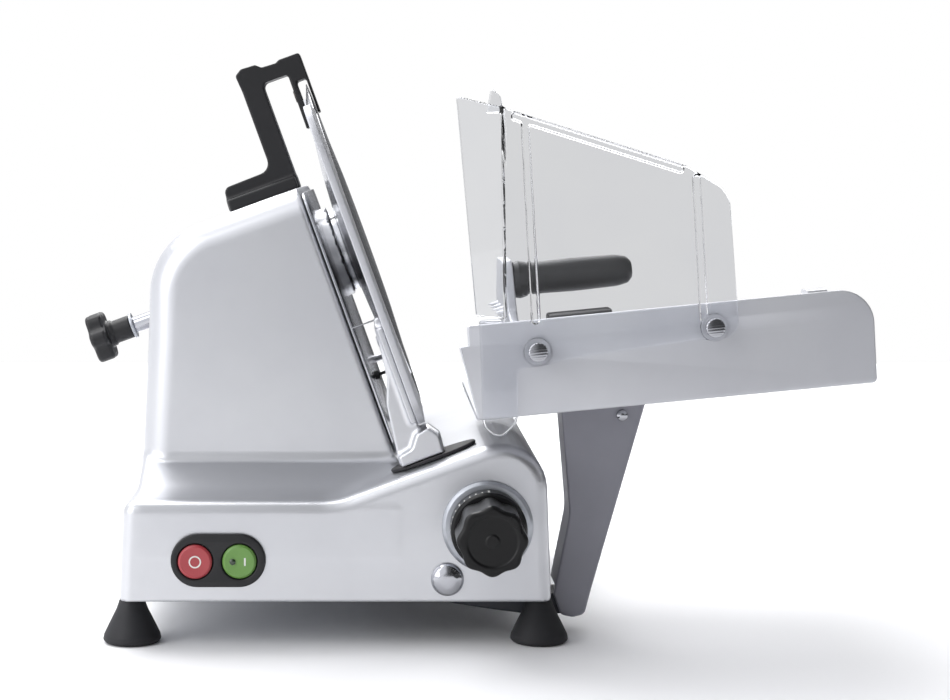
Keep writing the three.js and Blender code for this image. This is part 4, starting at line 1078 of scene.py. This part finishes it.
@dataclass
class ThicknessControl(Assembly):
    """Slice-thickness dial: fixed collar, marked drum and scalloped knob."""

    x: float = 98.4
    z: float = 79.5
    collar_r: float = 29.4
    collar_bore: float = 9.0
    drum_r: float = 24.5
    knob_r: float = 22.3
    front: float = -226.0
    shaft_r: float = 6.0
    marks: int = 30
    mark_span: float = 300.0

    def scale(self) -> Solid:
        """Printed marks round the drum, with every fifth one long."""
        made: Solid | None = None
        for i in range(self.marks + 1):
            turn = math.radians(i * self.mark_span / self.marks)
            long = 3 if i % 5 == 0 else 0
            width = 0.55 if long else 0.4
            near, far = -186.6, -183 + long
            line = Outline.of((-width, near, 0.2), (width, near, 0.2), (width, far, 0.2), (-width, far, 0.2))
            mark = slab(line, Axis.Z, self.drum_r - 0.3, self.drum_r + 0.06, 0.03, steps=1)
            cos, sin = math.cos(turn), math.sin(turn)
            x, y, z = mark.points.T
            mark.points = np.stack([self.x + x * cos - z * sin, y, self.z + x * sin + z * cos], 1)
            made = made + mark if made else mark
        return made

    def knob(self) -> Solid:
        """Scalloped hand knob, hollow at the face with a small middle cap."""
        line = Outline.lobed(self.knob_r, 8, 1.9, 2)

        def body(x: Array, y: Array, z: Array) -> Array:
            """Field of the knob round its own axis."""
            r = np.hypot(x, z)
            grip = pushed(line.distance(x, z), y, self.front, -190.3, 2.6)
            dish = bar(y, x, z, 15.5, self.front - 4, self.front + 0.5, 0.4)
            grip = without(grip, dish, 1.6)
            cap = bar(y, x, z, 4.0, self.front + 0.2, self.front + 4, 0.5)
            return without(union(grip, cap, 0.8), np.maximum(r - self.shaft_r - 0.3, -205 - y), 0.1)

        made = skin(body, (-23, self.front, -23), (23, -190, 23), 0.8)
        return Solid(made.points + np.array([self.x, 0, self.z]), made.faces, made.normals)

    def build(self) -> None:
        """Builds the collar, drum and knob."""
        here = (self.x, self.z)
        collar = [(FRONT, self.collar_bore), (FRONT, self.collar_r), (-172.5, self.collar_r, 0.8),
                  (-174.3, self.collar_r - 2, 0.8), (-174.3, self.collar_bore)]
        ring = turned(collar, Axis.Y, here, 0.3, SPIN_STEPS)
        piece("dial_ring", ring, BODY, Slot.ZINC, "base", ["dial_collar"])
        drum = [(-174.7, self.shaft_r + 0.3), (-174.7, self.drum_r), (-188, self.drum_r, 0.8),
                (-190, self.drum_r - 1.6, 0.6), (-190, self.shaft_r + 0.3)]
        dial = turned(drum, Axis.Y, here, 0.3, SPIN_STEPS)
        piece("dial_drum", dial, BODY, Slot.GLOSS_BLACK, "thickness_control", ["thickness_dial"])
        piece("dial_marks", self.scale(), BODY, Slot.GLOSS_BLACK, "thickness_control", paint=Slot.MARK)
        piece("dial_knob", self.knob(), BODY, Slot.GLOSS_BLACK, "thickness_control", ["thickness_knob"])


@dataclass
class Guides(Assembly):
    """Carriage guide rod with its end cap."""

    x: float = 72.5
    z: float = 45.0
    rod_r: float = 8.0
    rod_half: float = 169.7
    cap_r: float = 10.6

    def build(self) -> None:
        """Builds the rod and the cap."""
        here = (self.x, self.z)
        guide = rod(Axis.Y, self.rod_r, -self.rod_half, self.rod_half, here)
        piece("guide_rod", guide, BODY, Slot.CHROME, "base", ["carriage_guide_rod"])
        dome = [(FRONT, 0), (FRONT, self.cap_r, 0.2), (-171.5, self.cap_r, 0.5), (-173.7, 8.8, 3),
                (-175.3, 5.4, 5), (-175.9, 0)]
        piece("rod_cap", turned(dome, Axis.Y, here, 0.3), BODY, Slot.CHROME, "base", ["guide_rod_cap"])


# ---------------------------------------------------------------- gauge plate


@dataclass
class Gauge(Assembly):
    """Gauge plate, the bracket that carries it, and the seal round the bracket's slot."""

    face: float = 0.5
    thick: float = 5.0
    front: float = -207.0
    top: float = 103.0
    bottom: float = -119.0
    throat: float = 127.5
    corner: float = 22.0
    stem_y: float = -181.0
    sole: float = -140.8
    slot_half: float = 8.5

    def plate_line(self) -> Outline:
        """Outline of the plate, curved round the blade's edge."""
        low = math.atan2(self.bottom, -math.sqrt(self.throat ** 2 - self.bottom ** 2))
        high = math.atan2(self.top, -math.sqrt(self.throat ** 2 - self.top ** 2)) - 2 * math.pi
        turn = np.linspace(low, high, 64)
        arc = np.stack([self.throat * np.cos(turn), self.throat * np.sin(turn)], 1)
        near = self.front
        ends = rounded([(float(arc[-1, 0]), self.top), (near, self.top, self.corner),
                        (near, self.bottom, self.corner), (float(arc[0, 0]), self.bottom)], 12, False)
        return Outline(np.concatenate([arc, ends[1:-1]]))

    def bracket(self, x: Array, y: Array, z: Array) -> Array:
        """Field of the bracket, in the blade axes."""
        back = self.face - self.thick - 0.3
        web_line = Outline.of((back, -44, 1), (back - 4, -44, 1), (back - 9, -84, 6), (-20, -100, 6),
                              (-24, -130, 4), (-24, self.sole), (5, self.sole), (6, -129, 2), (1, -122, 2),
                              (back, -121, 1))
        toe_line = Outline.of((-24, self.sole), (5, self.sole), (6, -129, 2), (1, -122, 2), (-8, -124, 5),
                              (-14, -132, 5), (-24, -134, 2))
        y0 = self.stem_y
        web = pushed(web_line.distance(x, z), y, y0 - 5, y0 + 5, 1.2)
        toe = pushed(toe_line.distance(x, z), y, y0 - 14, y0 + 11, 1.4)
        pad = block(x, y, z, (back - 4, y0 - 16, -116), (back, y0 + 16, -50), 0.8)
        for up in (-60, -100):
            pad = union(pad, bar(x, y - y0 - 10, z - up, 4, back - 7, back - 2, 0.8), 1.5)
        stem = block(x, y, z, (-6, y0 - 7, -149.7), (4, y0 + 7, -139), 0.5)
        return union(union(union(web, toe, 4), pad, 4), stem, 0.5)

    def build(self) -> None:
        """Builds the plate, bracket and seal."""
        plate = slab(self.plate_line(), Axis.X, self.face - self.thick, self.face, 0.8)
        piece("gauge_face", plate, BLADE, Slot.ANODISED, "gauge", ["gauge_plate"])
        bracket = skin(self.bracket, (-25, self.stem_y - 17, -150), (7, self.stem_y + 17, -43), 1.0)
        piece("gauge_bracket", bracket, BLADE, Slot.CAST, "gauge", ["gauge_support"])
        near, far = self.stem_y - self.slot_half, self.stem_y + self.slot_half
        slot = Outline.of((-22.5, near, 1), (5.5, near, 1), (5.5, far, 1), (-22.5, far, 1))
        seal = slab(Outline.oval(-2.5, self.stem_y, 29.5, 15), Axis.Z, -143.9, -141.4, 1.0, [slot])
        piece("slot_seal", seal, BLADE, Slot.RUBBER, "base", ["gauge_seal"])


# ---------------------------------------------------------------- blade, hub and tie rod


@dataclass
class BladeUnit(Assembly):
    """Blade with its hub, cover, guards and tie rod."""

    radius: float = 125.0
    bore: float = 18.3
    shaft_r: float = 12.6
    rod_r: float = 6.0
    post_angles: tuple[float, float] = (-92.0, -46.0)
    post_r: float = 130.2
    pin_at: tuple[float, float] = (-75.0, -90.0)
    guard_r: float = 133.0
    guard_inner_r: float = 127.5

    def build(self) -> None:
        """Builds the turning pieces, then the still ones."""
        blade = [(-13, self.bore), (-13, 38, 2), (-11.4, 62, 40), (-7.2, 98, 40), (-5, 112, 1),
                 (-0.4, self.radius, 0.05), (0, self.radius, 0.05), (-3, 109, 1), (-4.4, 98, 40),
                 (-8.6, 62, 40), (-10.2, 38, 2), (-10.2, self.bore)]
        knife = turned(blade, Axis.X, edge=0.1, steps=2 * SPIN_STEPS)
        piece("round_blade", knife, BLADE, Slot.STEEL, "blade_assembly", ["blade"])
        hub = [(-80, self.rod_r + 0.6), (-80, self.shaft_r), (-17.7, self.shaft_r), (-17.7, 32), (-13.3, 32),
               (-13.3, 18), (-10.8, 18), (-10.8, self.rod_r + 0.6)]
        axle = turned(hub, Axis.X, edge=0.5, steps=SPIN_STEPS)
        piece("blade_hub", axle, BLADE, Slot.STEEL, "blade_assembly", ["hub_shaft"])
        cover = [(-9.4, self.rod_r + 0.3), (-9.4, 11), (-3.6, 13, 1), (-1.6, 60, 60), (-2, 103, 0.3),
                 (-1, 104.5, 0.4), (0.2, 104, 0.4), (2.3, 55, 90), (2.6, 0.02), (-1, 0.02),
                 (-1, self.rod_r + 0.3)]
        disc = turned(cover, Axis.X, edge=0.2, steps=2 * SPIN_STEPS)
        piece("hub_cover", disc, BLADE, Slot.STEEL, "base", ["blade_cover"])
        self.tie_rod()
        self.guards()

    def tie_rod(self) -> None:
        """Builds the tie rod, its lobed knob and the washer."""
        screw = rod(Axis.X, self.rod_r, -206, -1.6, edge=0.6)
        piece("pull_rod", screw, BLADE, Slot.CHROME, "tie_rod_screw", ["tie_rod"])
        line = Outline.lobed(19.5, 6, 3.6)

        def knob(x: Array, y: Array, z: Array) -> Array:
            """Field of the knob: lobed head, waisted neck and screw bore."""
            head = pushed(line.distance(y, z), x, -215.5, -202.5, 2.6)
            neck = bar(x, y, z, 8.6, -204, -185, 0.8)
            neck = union(neck, bar(x, y, z, 9.8, -204.5, -199, 0.8), 1.5)
            return without(union(head, neck, 2), bar(x, y, z, self.rod_r + 0.3, -206.3, -180, 0.1), 0.1)

        made = skin(knob, (-215.5, -20, -20), (-185, 20, 20), 0.7)
        piece("pull_knob", made, BLADE, Slot.BLACK, "tie_rod_screw", ["tie_rod_knob"])
        washer = [(-184.7, self.rod_r + 0.3), (-184.7, 9.5), (-182.7, 9.5), (-182.7, self.rod_r + 0.3)]
        piece("pull_washer", turned(washer, Axis.X), BLADE, Slot.ZINC, "tie_rod_collar", ["knob_washer"])

    def guards(self) -> None:
        """Builds the guard ring, the deflector plate and its pin."""
        turn = np.radians(np.linspace(-105, 62, 120))
        outer = self.guard_r * np.stack([np.cos(turn), np.sin(turn)], 1)
        inner = self.guard_inner_r * np.stack([np.cos(turn[::-1]), np.sin(turn[::-1])], 1)
        ring = slab(Outline(np.concatenate([outer, inner])), Axis.X, -9, -1, 1.2)
        holes = [Outline.oval(0, 0, 35, 35, 120), Outline.oval(*self.pin_at, 1.7, 1.7, 24)]
        for degrees in self.post_angles:
            y = self.post_r * math.cos(math.radians(degrees))
            z = self.post_r * math.sin(math.radians(degrees))
            ring += rod(Axis.X, 2.7, -27.2, -5, (y, z), 0.3, 32)
            holes.append(Outline.oval(y, z, 3.4, 3.4, 32))
        piece("guard_ring", ring, BLADE, Slot.CAST, "base", ["blade_guard_ring"])
        sheet = Outline.of((-150, -137, 8), (100, -137, 20), (100, 50, 12), (-150, 50, 12))
        piece("deflector", slab(sheet, Axis.X, -26.7, -24.7, 0.5, holes), BLADE, Slot.STEEL, "base",
              ["slice_deflector"])
        profile = [(-27.2, 0), (-27.2, 1.4), (-24.4, 1.4), (-24.4, 3.2), (-21.2, 3.2), (-20.2, 1.2),
                   (-9, 1.2), (-9, 0)]
        pin = turned(profile, Axis.X, self.pin_at, 0.2, 32)
        piece("plate_pin", pin, BLADE, Slot.BLACK, "base", ["deflector_pin"])


@dataclass
class Sharpener(Assembly):
    """Black sharpener frame over the blade, with its two stones and their buttons."""

    foot: float = 54.8
    stone_up: float = 119.0
    button_along: float = -39.0

    def body(self, x: Array, y: Array, z: Array) -> Array:
        """Field of the frame, in the blade axes."""
        line = Outline.of(
            (-85.5, self.foot, 2), (-30.5, self.foot, 0.5), (-30.5, 136, 4), (-10.5, 136, 2.5),
            (-11, 93.5, 0.4), (-9.2, 93.5, 0.4), (-6.6, 112, 2), (-6.4, 129, 2), (1.2, 129, 2),
            (1.2, 102, 0.5), (3, 102, 0.5), (3, 148.5, 2), (-13, 148.5, 3), (-16, 147, 2), (-27, 147.5, 3),
            (-31, 151, 2), (-42, 151.5, 3), (-47.5, 148, 3), (-46.5, 135, 6), (-46.5, 74, 8),
            (-84, 73, 5), steps=5)
        side = pushed(line.distance(x, z), y, -13, 13, 0.8)
        shoe = block(x, y, z, (-84.5, -20, self.foot), (-31.5, 20, self.foot + 9), 1.5)
        made = union(side, shoe, 3)
        made = without(made, bar(x, y, z - self.stone_up, 4.8, -20, 8, 0.1), 0.3)
        for up in (135.05, 146.95):
            made = without(made, bar(y, x - self.button_along, z - up, 3.3, 3.6, 30, 0.1), 0.3)
        return made

    def build(self) -> None:
        """Builds the frame, the stones and the buttons."""
        made = skin(self.body, (-86, -20, self.foot), (3, 20, 152), 1.0)
        piece("sharpener_frame", made, BLADE, Slot.BLACK, "base", ["sharpener_body"])
        for which, low, high, body in (("rear", -11.5, -6.2, "rear_hone"), ("front", 1.5, 3, "front_hone")):
            stone = rod(Axis.X, 4.4, low, high, (0, self.stone_up), 0.3, 40)
            piece(f"{which}_hone_stone", stone, BLADE, Slot.STONE, body, [f"{which}_stone"])
        for which, up, slot in (("rear", 135.05, Slot.RED), ("front", 146.95, Slot.GREEN)):
            button = turned([(6.6, 0), (6.6, 3), (15.5, 3, 0.8), (16.2, 1.8, 0.6), (16.2, 0)], Axis.Y,
                            (self.button_along, up), 0.3, 40)
            piece(f"{which}_hone_button", button, BLADE, slot, f"{which}_stone_push",
                  [f"{which}_stone_button"])


# ---------------------------------------------------------------- carriage, tray and pusher


@dataclass
class Carriage(Assembly):
    """Bent sheet leg with its slide arm and screw."""

    y: float = -109.0
    half: float = 19.0

    def leg(self, x: Array, y: Array, z: Array) -> Array:
        """Field of the leg: a skin bent round an open back."""
        outer = Outline.of((149, 158.2), (155.5, 80, 40), (144.8, 26, 4), (149.5, 12.5, 5), (158, 10.8, 6),
                           (165.5, 12.8, 5), (170, 30, 8), (208.5, 163.9), steps=10)
        inner = Outline.of((153.2, 170), (159.6, 80, 36), (149, 27, 3), (153, 16, 3), (158, 15, 3),
                           (162, 16, 3), (166, 31, 6), (206, 170), steps=10)
        skin_field = pushed(outer.distance(x, z), y, self.y - self.half, self.y + self.half, 1.4)
        pocket = np.maximum(inner.distance(x, z), self.y - self.half + 4 - y)
        made = without(skin_field, pocket, 1.0)
        gap = block(x, y, z, (140, self.y - 15, 5), (172, self.y + 20, 31), 0.2)
        made = without(made, gap, 0.3)
        return without(made, bar(y, x - 190, z - 146, 2.5, -130, -120, 0.1), 0.3)

    def arm(self, x: Array, y: Array, z: Array) -> Array:
        """Field of the slide block and the arm under the base's rim."""
        block_line = Outline.of((56, 30, 3), (89, 30, 3), (89, 61, 3), (56, 61, 3))
        arm_line = Outline.of((60, 34), (60, 22, 3), (104, 15.2, 6), (128, 12, 6), (163, 12.5, 6),
                              (165, 26, 4), (96, 26, 3), (86, 36))
        slide = pushed(block_line.distance(x, z), y, self.y - 30, self.y + 30, 1.2)
        slide = without(slide, bar(y, x - 72.5, z - 45, 8.3, self.y - 40, self.y + 40), 0.6)
        arm = pushed(arm_line.distance(x, z), y, self.y - 14.7, self.y + 16, 1.6)
        axle = bar(x, y - self.y, z - 43.5, 3, 39, 58)
        return union(union(slide, arm, 2), axle, 0.3)

    def build(self) -> None:
        """Builds the leg, the arm with its axle, and the screw."""
        leg = skin(self.leg, (144, self.y - self.half, 10), (209, self.y + self.half, 164), 1.2)
        piece("tray_leg", leg, BODY, Slot.GREY_PAINT, "carriage", ["carriage_leg"])
        arm = skin(self.arm, (39, self.y - 30, 11), (166, self.y + 30, 62), 1.2)
        piece("slide_arm", arm, BODY, Slot.MOTOR_PAINT, "carriage", ["carriage_arm"])
        web = self.y - self.half - 0.3
        screw = [(web - 2.4, 0), (web - 2.2, 1.8, 1), (web - 1.2, 3.8, 1), (web, 3.8, 0.2), (web, 2.2),
                 (web + 11, 2.2), (web + 11, 0)]
        piece("leg_screw_head", turned(screw, Axis.Y, (190, 146), 0.2, 40), BODY, Slot.CHROME, "carriage",
              ["leg_screw"])


@dataclass
class Tray(Assembly):
    """Meat tray with its clear hand shield and the two screws that hold it."""

    length: float = 249.0
    front: float = -215.0
    back: float = -5.0
    wall_h: float = 59.3
    shield_front: float = -222.3
    shield_thick: float = 3.0
    rib: float = 1.6
    screws: tuple[tuple[float, float], ...] = (in_tray(126, 197), in_tray(235, 212))

    def sheet(self) -> Solid:
        """Tray floor, front wall, back lip and the leg's tab."""
        wall_line = Outline.of((0, 0, 3), (self.length, 0, 3), (self.length + 2.5, self.wall_h, 21),
                               (-1.5, self.wall_h, 2), (-1.8, 47, 1), (-7.6, 46.6, 1), steps=14)
        holes = [Outline.oval(x, z, 2.8, 2.8, 24) for x, z in self.screws]
        made = slab(wall_line, Axis.Y, self.front, self.front + 4, 1.2, holes)
        floor = Outline.of((-1, self.front + 1), (self.length - 2, self.front + 1),
                           (self.length - 2, self.back, 14), (-1, self.back, 14), steps=10)
        made += slab(floor, Axis.Z, 0, 4, 0.9)
        lip = Outline.of((12, 1), (self.length - 16, 1), (self.length - 16, 12, 5), (12, 12, 5))
        made += slab(lip, Axis.Y, self.back - 4, self.back, 0.9)
        tab_y = -109 - 19 + 4 + 0.3
        tab = Outline.of((70, -20, 3), (106, -20, 3), (106, 1), (70, 1))
        hole = Outline.oval(*in_tray(190, 146), 2.5, 2.5, 24)
        return made + slab(tab, Axis.Y, tab_y, tab_y + 4, 0.5, [hole])

    def shield(self, x: Array, y: Array, z: Array) -> Array:
        """Field of the moulded shield, in the tray axes."""

        def spot(bx: float, bz: float, radius: float = 0.0) -> tuple[float, float, float]:
            """Corner told in body X and Z."""
            return (*in_tray(bx, bz), radius)

        front, back = self.shield_front, self.shield_front + self.shield_thick
        panel_line = Outline.of(
            spot(90, 216), spot(92.5, 150, 8), spot(103, 142, 7), spot(114, 153, 8), spot(114, 186, 5),
            spot(131, 188.5, 6), spot(150, 193, 20), spot(225, 204, 6), spot(251, 206, 10),
            spot(244, 296, 18),
            spot(217, 312, 14), spot(103, 348), spot(105, 216), steps=8)
        made = pushed(panel_line.distance(x, z), y, front, back, 0.9)
        fold_top, fold_low = in_tray(104, 347.6), in_tray(107, 216)
        tip_top, tip_low = in_tray(77, 356), in_tray(90, 216)
        leaf = Outline.of(tip_low, (fold_low[0] + 1, fold_low[1]), (fold_top[0] + 1, fold_top[1]),
                          (*tip_top, 1.5))
        slant = 1.35
        bent = y - slant * (fold_top[0] - x) - 1.5
        flange = pushed(leaf.distance(x, z), bent / 1.1, (front + 0.2) / 1.1, (back + 0.2) / 1.1, 0.8)
        made = union(made, flange, 2.0)
        fin = Outline.of(spot(94, 344), spot(105, 344), spot(103, 354, 1), spot(97, 360, 1))
        made = union(made, pushed(fin.distance(x, z), y, front, back, 0.8), 0.8)
        for ax, az, bx, bz in ((125, 216, 118, 340), (229, 218, 224, 304), (112, 342, 214, 309.7)):
            a, b = np.array(in_tray(ax, az)), np.array(in_tray(bx, bz))
            d = b - a
            t = np.clip(((x - a[0]) * d[0] + (z - a[1]) * d[1]) / (d @ d), 0, 1)
            off = np.hypot(x - a[0] - t * d[0], z - a[1] - t * d[1]) - 2
            made = union(made, pushed(off, y, back - 1.5, back + self.rib, 0.8), 1.8)
        for sx, sz in self.screws:
            made = union(made, bar(y, x - sx, z - sz, 8.5, front - 1.5, back, 0.7), 1.5)
            made = without(made, bar(y, x - sx, z - sz, 2.8, front - 10, back + 10, 0.1), 0.4)
        return made

    def build(self) -> None:
        """Builds the tray, shield and screws."""
        piece("tray_sheet", self.sheet(), TRAY, Slot.ANODISED, "carriage", ["meat_tray"])
        low = (-10, self.shield_front - 2, -20)
        high = (170, self.shield_front + 42, 215)
        shield = skin(self.shield, low, high, 1.1)
        piece("clear_shield", shield, TRAY, Slot.CLEAR, "carriage", ["hand_shield"])
        seat = self.shield_front - 1.5 - 0.3
        for side, (x, z) in zip(("left", "right"), self.screws):
            head = slab(Outline.lobed(6.2, 20, 0.35, 1, 8).at(x, z), Axis.Y, seat - 4.6, seat, 0.8)
            shank = rod(Axis.Y, 2.5, seat - 1, -209.4, (x, z), 0.3, 32)
            piece(f"knurled_screw_{side}", head + shank, TRAY, Slot.CHROME, "carriage",
                  [f"shield_screw_{side}"])


@dataclass
class Pusher(Assembly):
    """Meat pusher: rod, brackets, slider, spiked plate and hand grip."""

    rod_y: float = -197.0
    rod_z: float = 46.0
    rod_r: float = 6.0
    grip_y: float = -159.0
    grip_z: float = 81.6

    def build(self) -> None:
        """Builds the pusher."""
        here = (self.rod_y, self.rod_z)
        slide = rod(Axis.X, self.rod_r, 11.3, 220.7, here)
        piece("slide_rod", slide, TRAY, Slot.CHROME, "carriage", ["pusher_rod"])
        line = Outline.of((-188, 37, 2), (-186, 10, 6), (-62, 10, 14), (-62, 62, 22), (-118, 95.5, 20),
                          (-170, 95.5, 6), (-172, 62, 6), (-188, 55, 3), steps=10)
        hub = [(22.3, 6.3), (22.3, 11, 1), (49.5, 11, 1), (49.5, 6.3)]
        plate = slab(line, Axis.X, 27, 33, 1.2)
        plate += turned(hub, Axis.X, here, 0.5, 64)
        plate += rod(Axis.X, 4, 32, 60, (self.grip_y, self.grip_z), 0.3, 32)
        for i in range(12):
            spot = (-164 + (i % 4) * 26, 22 + (i // 4) * 20)
            plate += turned([(20, 0), (20.4, 0.3), (28, 2.4), (28, 0)], Axis.X, spot, 0.1, 24)
        piece("spiked_plate", plate, TRAY, Slot.ANODISED, "pusher", ["pusher_plate"])
        grip = [(33.3, 4.3), (33.3, 11.5, 1), (37, 12.2, 1), (41, 11.2, 2), (44, 10.2, 3), (72, 10.8, 60),
                (100, 10.2, 20), (107, 8.6, 4), (110, 5, 3), (110, 0.02), (61, 0.02), (61, 4.3)]
        piece("hand_grip", turned(grip, Axis.X, (self.grip_y, self.grip_z), 0.4), TRAY, Slot.BLACK, "pusher",
              ["pusher_grip"])
        slider = Outline.of((-208, 35, 3), (-185, 35, 3), (-185, 61, 5), (-208, 61, 5))
        bore = Outline.oval(*here, self.rod_r + 0.3, self.rod_r + 0.3)
        piece("rod_slider", slab(slider, Axis.X, 50, 90, 1.2, [bore]), TRAY, Slot.BLACK, "pusher_slide_block",
              ["pusher_slider"])


# ---------------------------------------------------------------- studio


@dataclass
class Studio:
    """Pale floor, soft lights and the camera."""

    camera_at: tuple[float, float, float] = (22.6, -1470.0, 311.5)
    tilt: float = 1.75
    lens: float = 76.8
    shift: tuple[float, float] = (0.1105, -0.1285)
    room_span: tuple[float, float] = (-0.22, 0.12)
    room_light: tuple[float, float] = (1.3, 0.1)
    seen_through: float = 0.72

    def area(self, name: str, at: tuple[float, float, float], aim: tuple[float, float, float],
             size: tuple[float, float], power: float) -> None:
        """One soft light.

        Args:
            name: Name of the light.
            at: Where it hangs, in metres.
            aim: What it looks at.
            size: Width and height in metres.
            power: Power in watts.
        """
        data = bpy.data.lights.new(name, "AREA")
        data.shape = "RECTANGLE"
        data.size, data.size_y = size
        data.energy = power
        made = bpy.data.objects.new(name, data)
        made.location = at
        made.rotation_euler = (Vector(aim) - Vector(at)).to_track_quat("-Z", "Y").to_euler()
        bpy.context.scene.collection.objects.link(made)

    def world(self) -> None:
        """Even pale surroundings, white behind the object."""
        world = bpy.data.worlds.new("studio")
        bpy.context.scene.world = world
        world.use_nodes = True
        tree = world.node_tree
        room = tree.nodes["Background"]
        way = tree.nodes.new("ShaderNodeTexCoord")
        parts = tree.nodes.new("ShaderNodeSeparateXYZ")
        side = tree.nodes.new("ShaderNodeMapRange")
        side.interpolation_type = "SMOOTHSTEP"
        side.inputs["From Min"].default_value, side.inputs["From Max"].default_value = self.room_span
        side.inputs["To Min"].default_value, side.inputs["To Max"].default_value = self.room_light
        tree.links.new(way.outputs["Generated"], parts.inputs["Vector"])
        tree.links.new(parts.outputs["X"], side.inputs["Value"])
        tree.links.new(side.outputs["Result"], room.inputs["Strength"])
        room.inputs["Color"].default_value = (0.96, 0.97, 1.0, 1)
        rays = tree.nodes.new("ShaderNodeLightPath")
        seen: bpy.types.NodeSocket = room.outputs["Background"]
        for ray, strength in (("Is Transmission Ray", self.seen_through), ("Is Camera Ray", 1.0)):
            behind = tree.nodes.new("ShaderNodeBackground")
            behind.inputs["Color"].default_value = (1, 1, 1, 1)
            behind.inputs["Strength"].default_value = strength
            chosen = tree.nodes.new("ShaderNodeMixShader")
            tree.links.new(rays.outputs[ray], chosen.inputs["Fac"])
            tree.links.new(seen, chosen.inputs[1])
            tree.links.new(behind.outputs["Background"], chosen.inputs[2])
            seen = chosen.outputs["Shader"]
        tree.links.new(seen, tree.nodes["World Output"].inputs["Surface"])

    def floor(self) -> None:
        """Plain pale floor."""
        data = bpy.data.meshes.new("studio_floor")
        reach, level = 1.75, -0.0005
        data.from_pydata([(-reach, -reach, level), (reach, -reach, level), (reach, reach, level),
                          (-reach, reach, level)], [], [(0, 1, 2, 3)])
        made = bpy.data.objects.new("studio_floor", data)
        bpy.context.scene.collection.objects.link(made)
        paint = bpy.data.materials.new("studio_floor_paint")
        paint.use_nodes = True
        shader = paint.node_tree.nodes["Principled BSDF"]
        shader.inputs["Base Color"].default_value = (0.93, 0.93, 0.94, 1)
        shader.inputs["Roughness"].default_value = 0.8
        data.materials.append(paint)

    def build(self) -> None:
        """Builds the studio round the object."""
        self.world()
        self.floor()
        self.area("left_softbox", (-1.7, -1.3, 1.1), (-0.15, 0, 0.15), (1.3, 1.8), 19)
        self.area("right_softbox", (1.7, -0.4, 1.1), (0.1, 0, 0.2), (0.5, 1.5), 3)
        self.area("top_softbox", (-0.6, 0.75, 1.9), (-0.1, 0.1, 0.1), (2.0, 1.4), 36)
        self.area("back_softbox", (0.3, 1.9, 1.5), (0, 0.2, 0.1), (2.4, 1.2), 28)
        data = bpy.data.cameras.new("camera")
        data.lens = self.lens
        data.shift_x, data.shift_y = self.shift
        data.clip_end = 60
        made = bpy.data.objects.new("camera", data)
        made.location = BODY @ Vector(self.camera_at)
        made.rotation_euler = (math.radians(90 - self.tilt), 0, 0)
        bpy.context.scene.collection.objects.link(made)
        bpy.context.scene.camera = made
        bpy.context.scene.view_settings.view_transform = "Standard"


def dress_frame() -> None:
    """Gives every CAD node that stays in view the finish of its slot."""
    slots = {part["node"]: part["material_slot"] for part in frame["record"]["subparts"]}
    for name, node in frame["nodes"].items():
        if node.hide_render:
            continue
        slot = Slot(slots[name])
        node.data.materials.clear()
        node.data.materials.append(FINISHES[slot].material())
        LOG.info("%s keeps its own mesh in %s", name, slot.value)


def main() -> None:
    """Builds every sub-assembly in order, then the studio."""
    logging.basicConfig(level=logging.INFO, format="%(name)s: %(message)s")
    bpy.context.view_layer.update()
    for assembly in (Casting(), Feet(), Switch(), ThicknessControl(), Guides(), Gauge(), BladeUnit(),
                     Sharpener(), Carriage(), Tray(), Pusher()):
        assembly.build()
    dress_frame()
    Studio().build()


if __name__ == "__main__":
    main()
